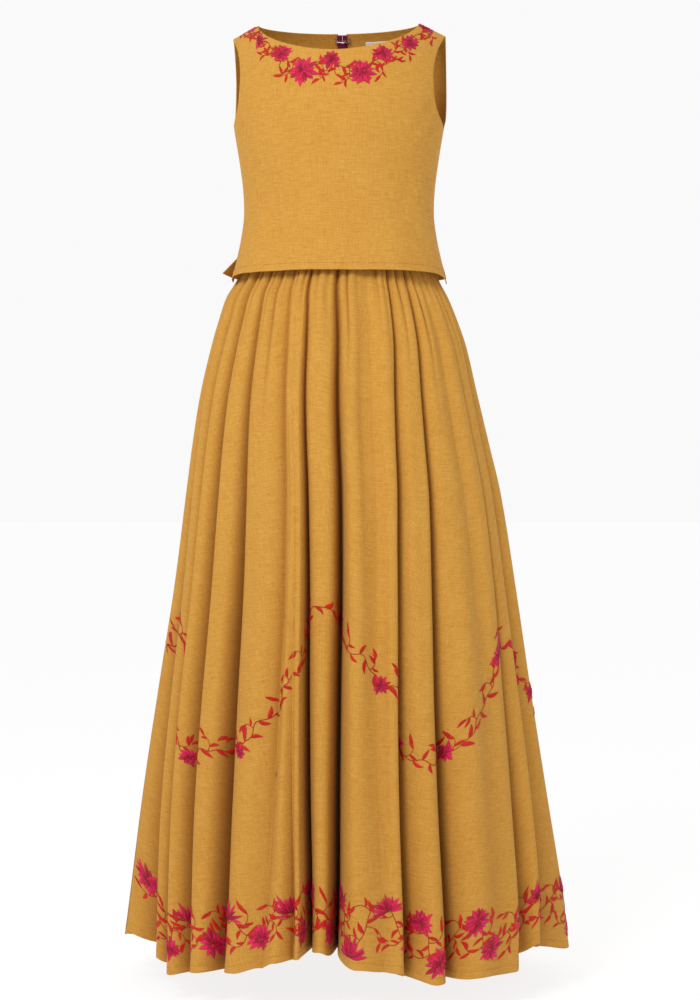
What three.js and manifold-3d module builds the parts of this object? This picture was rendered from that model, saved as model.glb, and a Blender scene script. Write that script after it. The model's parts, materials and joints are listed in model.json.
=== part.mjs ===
// A girl's sleeveless long dress, filled out as if worn, hollow inside.
// Boat neck, straight bodice whose open-sided hem hangs over a flared, softly folded skirt,
// and a centre back zip with a hook and eye. Millimetres, +Z up, the front faces -Y.
// The origin is midway between the two points where the shoulder seams meet the neck.
import * as THREE from 'three';
import { mergeVertices } from 'three/addons/utils/BufferGeometryUtils.js';
import Module from 'manifold-3d';

const wasm = await Module();
wasm.setup();

// Driving sizes
const CLOTH = 1.5;            // thickness of the cloth walls
const SEAM = 0.3;             // space left between two pieces that are sewn together
const NECK_HALF = 104.6;      // centre to where a shoulder seam meets the neck
const SHOULDER_HALF = 138.5;  // centre to the outer end of a shoulder seam
const SHOULDER_DROP = 17;     // fall of the shoulder seam from neck to outer end
const NECK_DROP = { front: 47, back: 0 };
const NECK_ROUNDNESS = 1.8;   // exponent of the neck line's superellipse
const NAPE_RISE = 27;         // how far the form under the neck hole rises above the shoulders
const SHOULDER_ROLL = { front: 110, back: 60 };  // height over which the cloth rolls over the shoulder
const BODY_ROUNDNESS = 2.25;  // exponent of the bodice's rounded sections
const UNDERARM = -137;
const YOKE = -70;             // above this level the rows bend up to the neck and shoulders
const BODICE_HEM = -328;
const VENT_TOP = -300;        // the side seams are open below this level
const VENT_FLARE = { front: { left: -1, right: 1 }, back: { left: 14, right: 0 } };
const VENT_DROP = { front: { left: 6, right: 10 }, back: { left: -7, right: 2 } };
const VENT_SPREAD = 5;        // how far the two layers part at an open side
const VENT_REACH = 0.35;      // share of a panel that swings with the open side
const ZIP_END = -226;
const ZIP_STEP = 1.5;         // height over which the back edges close below the zip
const ZIP_HALF = 5.2;         // half the width of the two zip tapes
const BAND_TOP = -238;
const BAND_CLEAR = 0.35;      // more than a seam's space, for the band's rounded corners
const WAIST = -262;           // the skirt's gathers join the waistband here
const SKIRT_HEM = -1206;

// Rounded sections of the bodice: half width and depth, for the front and for the back
const BODY_SECTIONS = [
  { z: -328, frontHalf: 139.0, front: 107, backHalf: 139.0, back: 104 },
  { z: -300, frontHalf: 131.5, front: 100, backHalf: 131.5, back: 98 },
  { z: -272, frontHalf: 126.0, front: 95, backHalf: 126.0, back: 92 },
  { z: -247, frontHalf: 123.3, front: 92, backHalf: 123.3, back: 89 },
  { z: -215, frontHalf: 124.5, front: 93, backHalf: 124.5, back: 91 },
  { z: -180, frontHalf: 129.0, front: 96, backHalf: 129.0, back: 95 },
  { z: -137, frontHalf: 136.0, front: 99, backHalf: 136.0, back: 98 },
  { z: -112, frontHalf: 138.5, front: 98, backHalf: 142.0, back: 97 },
  { z: -90, frontHalf: 139.5, front: 95, backHalf: 145.5, back: 94 },
  { z: -62, frontHalf: 140.0, front: 89, backHalf: 146.5, back: 88 },
  { z: -30, frontHalf: 140.5, front: 79, backHalf: 144.0, back: 78 },
  { z: 0, frontHalf: 141.0, front: 70, backHalf: 141.0, back: 70 },
];

// The armhole edges, by height: how far the front and back panels reach sideways
const ARMHOLE = [
  { z: -137, front: 136.0, back: 136.0 },
  { z: -133, front: 135.3, back: 137.2 },
  { z: -127, front: 132.4, back: 138.2 },
  { z: -118, front: 128.8, back: 138.6 },
  { z: -105, front: 126.0, back: 138.8 },
  { z: -88, front: 124.5, back: 138.8 },
  { z: -66, front: 124.5, back: 138.6 },
  { z: -38, front: 129.5, back: 138.5 },
  { z: -17, front: 138.5, back: 138.5 },
];

// The skirt's outline without its folds: half width, depth front and back, and sideways shift
const SKIRT_SECTIONS = [
  { z: -262, half: 120.5, front: 89, back: 87, shift: 0 },
  { z: -300, half: 123.0, front: 93, back: 91, shift: 0 },
  { z: -331, half: 131.0, front: 100, back: 97, shift: -1 },
  { z: -358, half: 145.0, front: 112, back: 108, shift: -2 },
  { z: -384, half: 154.0, front: 120, back: 116, shift: -1 },
  { z: -422, half: 165.5, front: 129, back: 126, shift: 0 },
  { z: -487, half: 180.0, front: 143, back: 140, shift: 0 },
  { z: -552, half: 192.0, front: 154, back: 151, shift: 2 },
  { z: -617, half: 203.0, front: 165, back: 161, shift: 5 },
  { z: -747, half: 220.5, front: 183, back: 178, shift: 7 },
  { z: -877, half: 240.0, front: 203, back: 199, shift: 7 },
  { z: -1007, half: 261.0, front: 224, back: 219, shift: 8 },
  { z: -1137, half: 282.0, front: 243, back: 239, shift: 10 },
  { z: -1206, half: 292.0, front: 251, back: 247, shift: 9 },
];

// One row for each fold of the skirt and the valley on its left, from the wearer's right side
// round the front. Angle, in degrees from the centre front, and depth are the valley's, each at
// waist, knee and hem. Recess sets the fold's ridge back at the hem, lift raises its hem, lean
// tips the valley sideways, and crisp is 0 for a soft hollow and 1 for a narrow crease.
const FOLDS = [
  { angle: [-93, -91, -82], depth: [4, 13, 28], recess: 0, lift: 43, lean: 0, crisp: 0.4 },
  { angle: [-78, -76, -57], depth: [4, 20, 38], recess: 12, lift: 18, lean: 0.1, crisp: 0.8 },
  { angle: [-63, -63, -50], depth: [7, 27, 36], recess: 3, lift: 4, lean: 0.1, crisp: 0.9 },
  { angle: [-50, -52, -41], depth: [7, 28, 42], recess: 0, lift: 13, lean: 0.1, crisp: 0.9 },
  { angle: [-40, -36, -31], depth: [5, 19, 44], recess: 0, lift: 18, lean: 0.1, crisp: 0.9 },
  { angle: [-24, -17, -18], depth: [7, 13, 6], recess: 4, lift: 33, lean: 0, crisp: 0.3 },
  { angle: [-18, -13, -10], depth: [2, 2, 15], recess: 8, lift: 38, lean: 0, crisp: 0.3 },
  { angle: [-13, -10, -7], depth: [6, 24, 56], recess: 26, lift: 44, lean: 0, crisp: 0.8 },
  { angle: [3, 2, 0], depth: [7, 32, 60], recess: 0, lift: 28, lean: 0, crisp: 0.9 },
  { angle: [20, 14, 12], depth: [6, 9, 2], recess: 0, lift: 23, lean: 0, crisp: 0 },
  { angle: [36, 23.5, 20], depth: [6, 26, 50], recess: 0, lift: 7, lean: -0.3, crisp: 1 },
  { angle: [47, 36.5, 31], depth: [7, 24, 42], recess: 0, lift: 11, lean: -0.1, crisp: 1 },
  { angle: [56, 53, 43], depth: [5, 7, 2], recess: 0, lift: 12, lean: 0, crisp: 0 },
  { angle: [65, 68, 56], depth: [5, 8, 30], recess: 8, lift: 38, lean: 0, crisp: 0.5 },
  { angle: [78, 80, 66], depth: [4, 10, 20], recess: 0, lift: 20, lean: 0, crisp: 0.4 },
  { angle: [92, 93, 92], depth: [4, 14, 32], recess: 2, lift: 18, lean: 0, crisp: 0.6 },
  { angle: [106, 106, 107], depth: [6, 22, 42], recess: 0, lift: 8, lean: 0.1, crisp: 0.9 },
  { angle: [119, 118, 119], depth: [5, 12, 16], recess: 5, lift: 16, lean: 0, crisp: 0.2 },
  { angle: [131, 130, 128], depth: [6, 27, 48], recess: 0, lift: 5, lean: -0.1, crisp: 0.9 },
  { angle: [143, 142, 143], depth: [5, 9, 6], recess: 2, lift: 12, lean: 0, crisp: 0 },
  { angle: [155, 156, 158], depth: [7, 30, 56], recess: 12, lift: 26, lean: 0, crisp: 0.9 },
  { angle: [168, 168, 169], depth: [5, 15, 34], recess: 6, lift: 14, lean: 0, crisp: 0.5 },
  { angle: [181, 181, 180], depth: [7, 25, 52], recess: 0, lift: 6, lean: 0.1, crisp: 0.9 },
  { angle: [194, 193, 192], depth: [5, 10, 5], recess: 3, lift: 11, lean: 0, crisp: 0 },
  { angle: [207, 207, 206], depth: [7, 28, 52], recess: 0, lift: 4, lean: 0.1, crisp: 1 },
  { angle: [219, 220, 222], depth: [6, 18, 40], recess: 6, lift: 17, lean: 0, crisp: 0.6 },
  { angle: [232, 233, 235], depth: [5, 13, 18], recess: 0, lift: 8, lean: 0, crisp: 0.2 },
  { angle: [244, 246, 250], depth: [6, 24, 46], recess: 0, lift: 12, lean: -0.1, crisp: 0.9 },
  { angle: [256, 259, 265], depth: [4, 13, 30], recess: 3, lift: 22, lean: 0, crisp: 0.5 },
];
const VALLEY_FLOOR = 0.03;                  // half the flat floor of a valley, as a share of a fold
const CREASE_POWER = 3.4;                   // how fast a crisp valley rises to its ridges
const FOLD_STEPS = [0.03, 0.12, 0.3, 0.5, 0.7, 0.88, 0.97];
const SEAM_LEFT = 0.5;                      // the side seams run down the ridges of two folds,
const SEAM_RIGHT = 15.5;                    // counted in folds along the table
const TUCK = 2.5;                           // a small tuck in the middle of each fold at the waist
const TUCK_NARROWING = 1.6;                 // how much narrower it is than a valley
const TUCK_END = 0.13;                      // and where down the skirt it has faded out
const GATHER_START = 0.45;                  // share of a valley's depth right at the waist seam
const GATHER_END = 0.07;                    // and where down the skirt it is whole
const SKIRT_ROWS = [0, 0.038, 0.074, 0.12, 0.2, 0.34, 0.51, 0.69, 0.86, 1];

// Colours of the finished dress
const MUSTARD = 0xd29a45;
const BERRY = 0x8f1240;
const SILVER = 0xc9c9cc;
const WHITE = 0xf2f0ec;

const radians = THREE.MathUtils.degToRad;
const lerp = THREE.MathUtils.lerp;

// Smooth curve through one column of a table, by Hermite steps with central slopes
function column(rows, name, z) {
  const up = rows[0].z < rows[rows.length - 1].z ? rows : [...rows].reverse();
  const at = Math.min(Math.max(z, up[0].z), up[up.length - 1].z);
  let i = 0;
  while (i < up.length - 2 && at > up[i + 1].z) {
    i += 1;
  }
  const slope = (k) => {
    const a = up[Math.max(k - 1, 0)];
    const b = up[Math.min(k + 1, up.length - 1)];
    return (b[name] - a[name]) / (b.z - a.z);
  };
  const span = up[i + 1].z - up[i].z;
  const u = (at - up[i].z) / span;
  const bend = (2 * u ** 3 - 3 * u ** 2 + 1) * up[i][name] + (3 * u ** 2 - 2 * u ** 3) * up[i + 1][name];
  return bend + span * ((u ** 3 - 2 * u ** 2 + u) * slope(i) + (u ** 3 - u ** 2) * slope(i + 1));
}

// A closed mesh from its points and triangles, turned so that its faces point out
function closedGeometry(points, triangles) {
  let volume = 0;
  for (const [a, b, c] of triangles) {
    volume += points[a].dot(points[b].clone().cross(points[c]));
  }
  const index = triangles.flatMap(([a, b, c]) => (volume > 0 ? [a, b, c] : [a, c, b]));
  const geometry = new THREE.BufferGeometry().setFromPoints(points);
  geometry.setIndex(index);
  return geometry;
}

// A cloth wall between two grids of points, rows by columns; ring joins the last column to the first
function wallGeometry(outer, inner, ring = false) {
  const rows = outer.length;
  const columns = outer[0].length;
  const points = [...outer.flat(), ...inner.flat()];
  const last = ring ? columns : columns - 1;
  const out = (j, i) => j * columns + (i % columns);
  const into = (j, i) => rows * columns + out(j, i);
  const triangles = [];
  const quad = (a, b, c, d) => triangles.push([a, b, c], [a, c, d]);
  for (let j = 0; j < rows - 1; j += 1) {
    for (let i = 0; i < last; i += 1) {
      quad(out(j, i), out(j, i + 1), out(j + 1, i + 1), out(j + 1, i));
      quad(into(j, i), into(j + 1, i), into(j + 1, i + 1), into(j, i + 1));
    }
  }
  for (let i = 0; i < last; i += 1) {
    quad(out(0, i + 1), out(0, i), into(0, i), into(0, i + 1));
    quad(out(rows - 1, i), out(rows - 1, i + 1), into(rows - 1, i + 1), into(rows - 1, i));
  }
  for (let j = 0; j < rows - 1 && !ring; j += 1) {
    quad(out(j, 0), out(j + 1, 0), into(j + 1, 0), into(j, 0));
    quad(out(j + 1, last), out(j, last), into(j, last), into(j + 1, last));
  }
  return closedGeometry(points, triangles);
}

// The points of a grid moved in by a distance along the grid's own normals.
// flatten says where a normal has to lie in the seam plane y = constant.
function movedIn(grid, side, distance, flatten = () => false) {
  const rows = grid.length;
  const columns = grid[0].length;
  return grid.map((row, j) => row.map((point, i) => {
    const across = grid[j][Math.min(i + 1, columns - 1)].clone().sub(grid[j][Math.max(i - 1, 0)]);
    const up = grid[Math.min(j + 1, rows - 1)][i].clone().sub(grid[Math.max(j - 1, 0)][i]);
    const normal = across.cross(up).normalize().multiplyScalar(-side);
    if (flatten(j, i)) {
      normal.setY(0).normalize();
    }
    return point.clone().addScaledVector(normal, -distance);
  }));
}

// Bodice

const sideName = (side) => (side < 0 ? 'front' : 'back');

const bodiceHalf = (side, z) => column(BODY_SECTIONS, `${sideName(side)}Half`, z);

// Height of the shoulder line at a distance from the centre; it arches on over the nape
function shoulderLine(x) {
  const past = Math.abs(x) - NECK_HALF;
  return past > 0
    ? (-SHOULDER_DROP * past) / (SHOULDER_HALF - NECK_HALF)
    : NAPE_RISE * (1 - (x / NECK_HALF) ** 2);
}

// The bodice's surface: how far it lies in front of (-) or behind (+) the shoulder seams
function bodiceDepth(side, x, z) {
  const share = Math.abs(x) / bodiceHalf(side, z);
  const across = Math.max(0, 1 - share ** BODY_ROUNDNESS) ** (1 / BODY_ROUNDNESS);
  const drop = Math.max(0, shoulderLine(x) - z);
  const roll = Math.min(1, drop / SHOULDER_ROLL[sideName(side)]);
  return side * column(BODY_SECTIONS, sideName(side), z) * across * Math.sqrt(1 - (1 - roll) ** 2);
}

// How far a panel reaches sideways at a height: to the side seam, or to the armhole's edge
function panelReach(side, z) {
  return z <= UNDERARM ? bodiceHalf(side, z) : column(ARMHOLE, sideName(side), z);
}

// Distance of a back panel's inner edge from the centre: it makes room for the zip
const zipEdge = (z) => (z >= ZIP_END ? ZIP_HALF + SEAM : SEAM / 2);

const BODICE_LEVELS = [
  BODICE_HEM, -313, VENT_TOP, -284, -262, -238, ZIP_END - ZIP_STEP, ZIP_END, -196, -166,
  UNDERARM, -133, -127, -118, -105, -88, YOKE,
];
const YOKE_STEPS = [0.3, 0.58, 0.8, 0.93, 1];
const SHOULDER_SHARE = 0.76;  // columns inside this share end on the neck, the others on the shoulder

// Where a column ends: on the neck line, or on the shoulder seam
function topEdge(side, share, edge) {
  if (share > SHOULDER_SHARE) {
    const u = (share - SHOULDER_SHARE) / (1 - SHOULDER_SHARE);
    return [lerp(NECK_HALF, SHOULDER_HALF, u), -SHOULDER_DROP * u];
  }
  const turn = (share / SHOULDER_SHARE) * (Math.PI / 2);
  const power = 2 / NECK_ROUNDNESS;
  const x = edge + (NECK_HALF - edge) * Math.sin(turn) ** power;
  return [x, -NECK_DROP[sideName(side)] * Math.max(0, Math.cos(turn)) ** power];
}

// One point of a panel: share runs 0 to 1 from the centre to the side, sign picks the side
function bodicePoint(side, sign, share, level, climb, edge) {
  const half = bodiceHalf(side, level);
  const turnOf = (x) => Math.asin(Math.min(1, x / half) ** (BODY_ROUNDNESS / 2));
  const turn = lerp(turnOf(edge), turnOf(panelReach(side, level)), share);
  let x = half * Math.sin(turn) ** (2 / BODY_ROUNDNESS);
  let z = level;
  if (climb > 0) {
    const [topX, topZ] = topEdge(side, share, edge);
    z = lerp(YOKE, topZ, climb);
    x = share === 1 ? column(ARMHOLE, sideName(side), z) : lerp(x, topX, climb);
  }
  const y = share === 1 && z <= UNDERARM ? 0 : bodiceDepth(side, x, z);
  const open = Math.max(0, (VENT_TOP - z) / (VENT_TOP - BODICE_HEM));
  const swing = open * Math.max(0, (share - 1 + VENT_REACH) / VENT_REACH) ** 2;
  const flare = VENT_FLARE[sideName(side)][sign < 0 ? 'left' : 'right'] * swing;
  const drop = VENT_DROP[sideName(side)][sign < 0 ? 'left' : 'right'] * swing;
  const spread = SEAM / 2 + VENT_SPREAD * swing;
  return new THREE.Vector3(sign * (x + flare), y + side * spread, z - drop);
}

// A panel's grid, whose columns run from one edge to the other
function bodiceGrid(side, columns, edgeAt) {
  const rows = [
    ...BODICE_LEVELS.map((level) => ({ level, climb: 0 })),
    ...YOKE_STEPS.map((climb) => ({ level: YOKE, climb })),
  ];
  return rows.map(({ level, climb }) => columns.map(({ sign, share }) => (
    bodicePoint(side, sign, share, level, climb, edgeAt(level)))));
}

// A panel's wall: its side and shoulder seams stay in the plane between front and back
function bodicePanel(side, columns, edgeAt) {
  const outer = bodiceGrid(side, columns, edgeAt);
  const seamRow = BODICE_LEVELS.indexOf(UNDERARM);
  const inSeam = (j, i) => {
    const { share } = columns[i];
    return (share === 1 && j <= seamRow) || (share > SHOULDER_SHARE - 0.01 && j === outer.length - 1);
  };
  return wallGeometry(outer, movedIn(outer, side, CLOTH, inSeam));
}

// Shares of a half panel: 0 at the centre, one on the neck point, 1 at the side
const HALF_SHARES = [0, 0.12, 0.24, 0.36, 0.48, 0.6, 0.69, SHOULDER_SHARE, 0.84, 0.92, 1];
const halfColumns = (sign) => HALF_SHARES.map((share) => ({ sign, share }));

const frontColumns = () => [...halfColumns(-1).slice(1).reverse(), ...halfColumns(1)];
const bodiceFront = () => bodicePanel(-1, frontColumns(), () => 0);
const bodiceBack = (sign) => bodicePanel(1, halfColumns(sign), zipEdge);

// Waistband: a ring against the inside of the bodice
function waistbandRing(z, inward) {
  const steps = 48;
  return Array.from({ length: steps }, (_, i) => {
    const turn = (i / steps) * Math.PI * 2;
    const side = Math.cos(turn) > 0 ? -1 : 1;
    const power = 2 / BODY_ROUNDNESS;
    const round = (value) => Math.sign(value) * Math.abs(value) ** power;
    const x = (bodiceHalf(side, z) - inward) * round(Math.sin(turn));
    const y = -(column(BODY_SECTIONS, sideName(side), z) - inward) * round(Math.cos(turn));
    return new THREE.Vector3(x, y, z);
  });
}

function waistband() {
  const levels = [WAIST, (WAIST + BAND_TOP) / 2, BAND_TOP];
  const gap = CLOTH + SEAM + BAND_CLEAR;
  return wallGeometry(
    levels.map((z) => waistbandRing(z, gap)),
    levels.map((z) => waistbandRing(z, gap + CLOTH)),
    true,
  );
}

// Skirt

// Value at a share down the skirt, through its values at waist, knee and hem
const bendThrough = (t, [waist, knee, hem]) => (
  waist * (2 * t - 1) * (t - 1) + knee * 4 * t * (1 - t) + hem * t * (2 * t - 1));

// A fold of the table by number, going round as often as needed
function foldAt(k) {
  const n = FOLDS.length;
  const fold = FOLDS[((k % n) + n) % n];
  const round = Math.floor(k / n) * 360;
  return { ...fold, angle: fold.angle.map((angle) => angle + round) };
}

// Depth of a fold's left valley at a share down the skirt
function valleyDepth(fold, t) {
  const start = lerp(GATHER_START, 1, Math.min(1, t / GATHER_END));
  return start * bendThrough(t, fold.depth);
}

// How much of a valley is felt at a share of a fold away from it
function valleyShape(share, crisp) {
  const away = 2 * share;
  const soft = Math.max(0, 1 - away ** 2) ** 2;
  const narrow = Math.max(0, 1 - Math.max(0, away - 2 * VALLEY_FLOOR)) ** CREASE_POWER;
  return lerp(soft, narrow, crisp);
}

// A point of the skirt's outside: place counts folds along the table, t runs 0 to 1 down it
function skirtPoint(place, t) {
  const k = Math.floor(place);
  const share = place - k;
  const fold = foldAt(k);
  const next = foldAt(k + 1);
  const level = lerp(WAIST - SEAM, SKIRT_HEM, t);
  const angle = radians(lerp(bendThrough(t, fold.angle), bendThrough(t, next.angle), share));
  const near = share < 0.5 ? fold : next;
  const across = share < 0.5 ? foldAt(k - 1) : next;
  const depth = valleyDepth(near, t) * valleyShape(Math.min(share, 1 - share), near.crisp);
  const toRidge = Math.sin(Math.PI * Math.min(share, 1 - share)) ** 2 / 2 + 0.5;
  const recess = lerp(across.recess, fold.recess, toRidge) * t ** 2;
  const lift = lerp(across.lift, fold.lift, toRidge) * t;
  const half = column(SKIRT_SECTIONS, 'half', level);
  const reach = column(SKIRT_SECTIONS, Math.cos(angle) > 0 ? 'front' : 'back', level);
  const out = new THREE.Vector2(Math.sin(angle) * reach, -Math.cos(angle) * half).normalize();
  const middle = valleyShape(Math.abs(share - 0.5) * TUCK_NARROWING, 0);
  const tuck = TUCK * middle * Math.max(0, 1 - t / TUCK_END);
  const inward = depth + recess + tuck;
  const sideways = near.lean * depth;
  return new THREE.Vector3(
    column(SKIRT_SECTIONS, 'shift', level) + half * Math.sin(angle) - out.x * inward - out.y * sideways,
    -reach * Math.cos(angle) - out.y * inward + out.x * sideways,
    level + lift,
  );
}

const MITRE_LIMIT = 0.65;  // keeps the wall's corners from running far past a sharp bend

// A level line of points moved in by a distance, keeping the wall even round bends.
// The line's two end points only give the directions at the ends, and are left out.
function lineMovedIn(line, distance) {
  return line.slice(1, -1).map((point, i) => {
    const before = point.clone().sub(line[i]).setZ(0).normalize();
    const after = line[i + 2].clone().sub(point).setZ(0).normalize();
    const along = before.clone().add(after).normalize();
    const normal = new THREE.Vector3(-along.y, along.x, 0);
    return point.clone().addScaledVector(normal, distance / Math.max(MITRE_LIMIT, along.dot(before)));
  });
}

// A panel of the skirt between two seams, in folds along the table
function skirtPanel(from, to) {
  const inset = 0.003;  // half the seam's space, as a share of a fold about 50 mm wide
  const beyond = 0.2;
  const places = [from - beyond, from + inset];
  for (let k = Math.floor(from); k <= Math.ceil(to); k += 1) {
    places.push(...FOLD_STEPS.map((share) => k + share).filter((p) => p > from + 0.01 && p < to - 0.01));
  }
  places.push(to - inset, to + beyond);
  const lines = SKIRT_ROWS.map((t) => places.map((place) => skirtPoint(place, t)));
  const outer = lines.map((line) => line.slice(1, -1));
  return wallGeometry(outer, lines.map((line) => lineMovedIn(line, CLOTH)));
}

// Zip, hook and eye, label

const ZIP_TOP = -4;          // just under the back neck edge
const TAPE_INNER = 1.8;      // centre to a tape's inner edge
const CHAIN_HALF = 1.5;
// How far the tapes' and the teeth's two faces lie off the outside of the cloth
const TAPE_FACES = { outer: -0.35, inner: -1.15 };
const CHAIN_FACES = { outer: 0.05, inner: -1.55 };
const SLIDER_AT = -14.5;      // height of the slider's middle
const SLIDER = { width: 7, length: 9, plate: 0.8, channel: 1.5, flange: 0.9, lip: 0.4 };
const POST = { width: 2.25, length: 2.4 };  // joins the slider's two plates at its upper end
const BAIL = { width: 1.4, bar: 0.8, clear: 1.8, half: 1.7 };
const PULL = { width: 5.2, length: 21, thick: 0.9, taper: 0.6, shoulder: 2, hole: 2.4, holeLength: 3.4 };

// The inner edge of a back panel, row by row, with its turn from upright
const BACK_EDGE = bodiceGrid(1, halfColumns(1).slice(0, 1), zipEdge).map(([point]) => point);
BACK_EDGE.forEach((point, j) => {
  const below = BACK_EDGE[Math.max(j - 1, 0)];
  const above = BACK_EDGE[Math.min(j + 1, BACK_EDGE.length - 1)];
  point.turn = Math.atan((below.y - above.y) / (above.z - below.z));
});

// The centre back line: its point and its turn from upright at a height
function backLine(z) {
  const last = BACK_EDGE.length - 1;
  const above = BACK_EDGE.findIndex((point) => point.z >= z);
  const j = above < 0 ? last : Math.max(1, above);
  const u = (z - BACK_EDGE[j - 1].z) / (BACK_EDGE[j].z - BACK_EDGE[j - 1].z);
  const y = lerp(BACK_EDGE[j - 1].y, BACK_EDGE[j].y, u);
  return { y, z, turn: lerp(BACK_EDGE[j - 1].turn, BACK_EDGE[j].turn, u) };
}

// A point off the back line, by a distance out (+) or in (-) along its normal
function offBackLine(z, x, out) {
  const at = backLine(z);
  return new THREE.Vector3(x, at.y + out * Math.cos(at.turn), z + out * Math.sin(at.turn));
}

// A strip that follows the centre back, between two distances off the cloth's face.
// Its edges are given as functions of height.
function backStrip(edge0, edge1, top, faces) {
  const steps = 16;
  const closer = (u) => 1 - (1 - u) ** 1.7;  // rows stand closer together where the back curves
  const levels = Array.from({ length: steps + 1 }, (_, i) => lerp(ZIP_END + SEAM, top, closer(i / steps)));
  return wallGeometry(
    levels.map((z) => [offBackLine(z, edge0(z), faces.outer), offBackLine(z, edge1(z), faces.outer)]),
    levels.map((z) => [offBackLine(z, edge0(z), faces.inner), offBackLine(z, edge1(z), faces.inner)]),
  );
}

// The tapes leave room for the teeth, and meet above the slider
const TAPES_MEET = -7;
const tapeInner = (z) => (z > TAPES_MEET ? SEAM / 2 : TAPE_INNER);
function zipTape(sign) {
  return backStrip((z) => sign * tapeInner(z), () => sign * ZIP_HALF, ZIP_TOP, TAPE_FACES);
}
const CHAIN_TOP = SLIDER_AT + 1.2;
const zipChain = () => backStrip(() => -CHAIN_HALF, () => CHAIN_HALF, CHAIN_TOP, CHAIN_FACES);

// A geometry as a solid for joining
function solidOf(geometry) {
  const bare = geometry.clone();
  bare.deleteAttribute('normal');
  bare.deleteAttribute('uv');
  const merged = mergeVertices(bare, 1e-4);
  return new wasm.Manifold(new wasm.Mesh({
    numProp: 3,
    vertProperties: new Float32Array(merged.attributes.position.array),
    triVerts: new Uint32Array(merged.index.array),
  }));
}

function geometryOf(solid) {
  const mesh = solid.getMesh();
  const geometry = new THREE.BufferGeometry();
  geometry.setAttribute('position', new THREE.BufferAttribute(mesh.vertProperties, 3));
  geometry.setIndex(new THREE.BufferAttribute(mesh.triVerts, 1));
  return geometry;
}

function box(width, depth, height, x, y, z) {
  return solidOf(new THREE.BoxGeometry(width, depth, height).translate(x, y, z));
}

// The slider, in its own frame: +Z up the zip, +Y out of the back, 0 at the middle of the cloth
function zipSlider() {
  const { width, length, plate, channel, flange, lip } = SLIDER;
  const face = channel + plate / 2;
  let body = box(width, plate, length, 0, face, 0).add(box(width, plate, length, 0, -face, 0));
  body = body.add(box(POST.width, 2 * channel + plate, POST.length, 0, 0, (length - POST.length) / 2));
  for (const x of [-1, 1]) {
    for (const y of [-1, 1]) {
      const middle = y * (channel - lip / 2 + plate / 4);
      body = body.add(box(flange, lip + plate / 2, length, x * (width - flange) / 2, middle, 0));
    }
  }
  return geometryOf(body.add(bail()));
}

// The arch on the slider that carries the pull tab
function bail() {
  const { width, bar, clear, half } = BAIL;
  const arch = new THREE.Shape();
  const foot = -SLIDER.plate / 2;
  arch.moveTo(-half - bar, foot);
  arch.lineTo(-half - bar, clear * 0.6);
  arch.absarc(0, clear * 0.6, half + bar, Math.PI, 0, true);
  arch.lineTo(half + bar, foot);
  arch.lineTo(half, foot);
  arch.lineTo(half, clear * 0.3);
  arch.absarc(0, clear * 0.3, half, 0, Math.PI, false);
  arch.lineTo(-half, foot);
  arch.closePath();
  const solid = new THREE.ExtrudeGeometry(arch, { depth: width, bevelEnabled: false, curveSegments: 8 });
  solid.translate(0, 0, -width / 2).rotateY(-Math.PI / 2);
  return solidOf(solid.translate(0, SLIDER.channel + SLIDER.plate, 0));
}

// The pull tab, in its own frame: 0 on the bar that it swings about, hanging down -Z
function zipPull() {
  const { width, length, thick, taper, shoulder, hole, holeLength } = PULL;
  const bar = thick / 2;
  const tab = new THREE.Shape();
  tab.moveTo(-width / 2, bar);
  tab.lineTo(-width / 2, -holeLength - shoulder);
  tab.lineTo(-width / 2 + taper, -length + width / 2);
  tab.absarc(0, -length + width / 2, width / 2 - taper, Math.PI, 2 * Math.PI, false);
  tab.lineTo(width / 2, -holeLength - shoulder);
  tab.lineTo(width / 2, bar);
  tab.closePath();
  const eye = new THREE.Path();
  eye.moveTo(-hole / 2, -bar);
  eye.lineTo(hole / 2, -bar);
  eye.lineTo(hole / 2, -holeLength - bar);
  eye.lineTo(-hole / 2, -holeLength - bar);
  eye.closePath();
  tab.holes.push(eye);
  const solid = new THREE.ExtrudeGeometry(tab, { depth: thick, bevelEnabled: false, curveSegments: 6 });
  return solid.translate(0, 0, -thick / 2).rotateX(Math.PI / 2);
}

const PULL_OUT = SLIDER.channel + SLIDER.plate + BAIL.clear / 2;

const WIRE_RADIUS = 0.42;
const HOOK_AT = -7.5;  // height of the hook and eye's middle

// Wire of the hook or the eye, bent through points given as x, distance in from the cloth, and height
function bentWire(route, steps) {
  const clear = CLOTH + 2 * SEAM + WIRE_RADIUS;
  const at = (x, inward, up) => offBackLine(HOOK_AT + up, x, -clear - inward);
  const points = route.map(({ x, inward, up }) => at(x, inward, up));
  const path = new THREE.CatmullRomCurve3(points, false, 'centripetal');
  const ring = new THREE.Shape().absarc(0, 0, WIRE_RADIUS, 0, Math.PI * 2, false);
  const wire = new THREE.ExtrudeGeometry(ring, { steps, curveSegments: 3, extrudePath: path });
  return geometryOf(solidOf(wire));
}

// An open sewing loop, turning from its free end round to the wire's start
function sewingLoop(x, up, flip) {
  const radius = 1.25;
  return [200, 130, 60, -10, -80].map((degrees) => ({
    x: x + flip.x * radius * Math.cos(radians(degrees)),
    inward: 0,
    up: up + flip.up * radius * Math.sin(radians(degrees)),
  }));
}

// The eye: a loop on each end and a bow towards the centre
function eyePiece() {
  const upper = sewingLoop(9.2, 2.3, { x: 1, up: 1 });
  const bow = [
    { x: 6.4, inward: 0.7, up: 1.2 },
    { x: 3.4, inward: 1.1, up: 1.3 },
    { x: 2.2, inward: 1.1, up: 0 },
    { x: 3.4, inward: 1.1, up: -1.3 },
    { x: 6.4, inward: 0.7, up: -1.2 },
  ];
  const lower = sewingLoop(9.2, -2.3, { x: 1, up: -1 }).reverse();
  return bentWire([...upper, ...bow, ...lower], 30);
}

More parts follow.
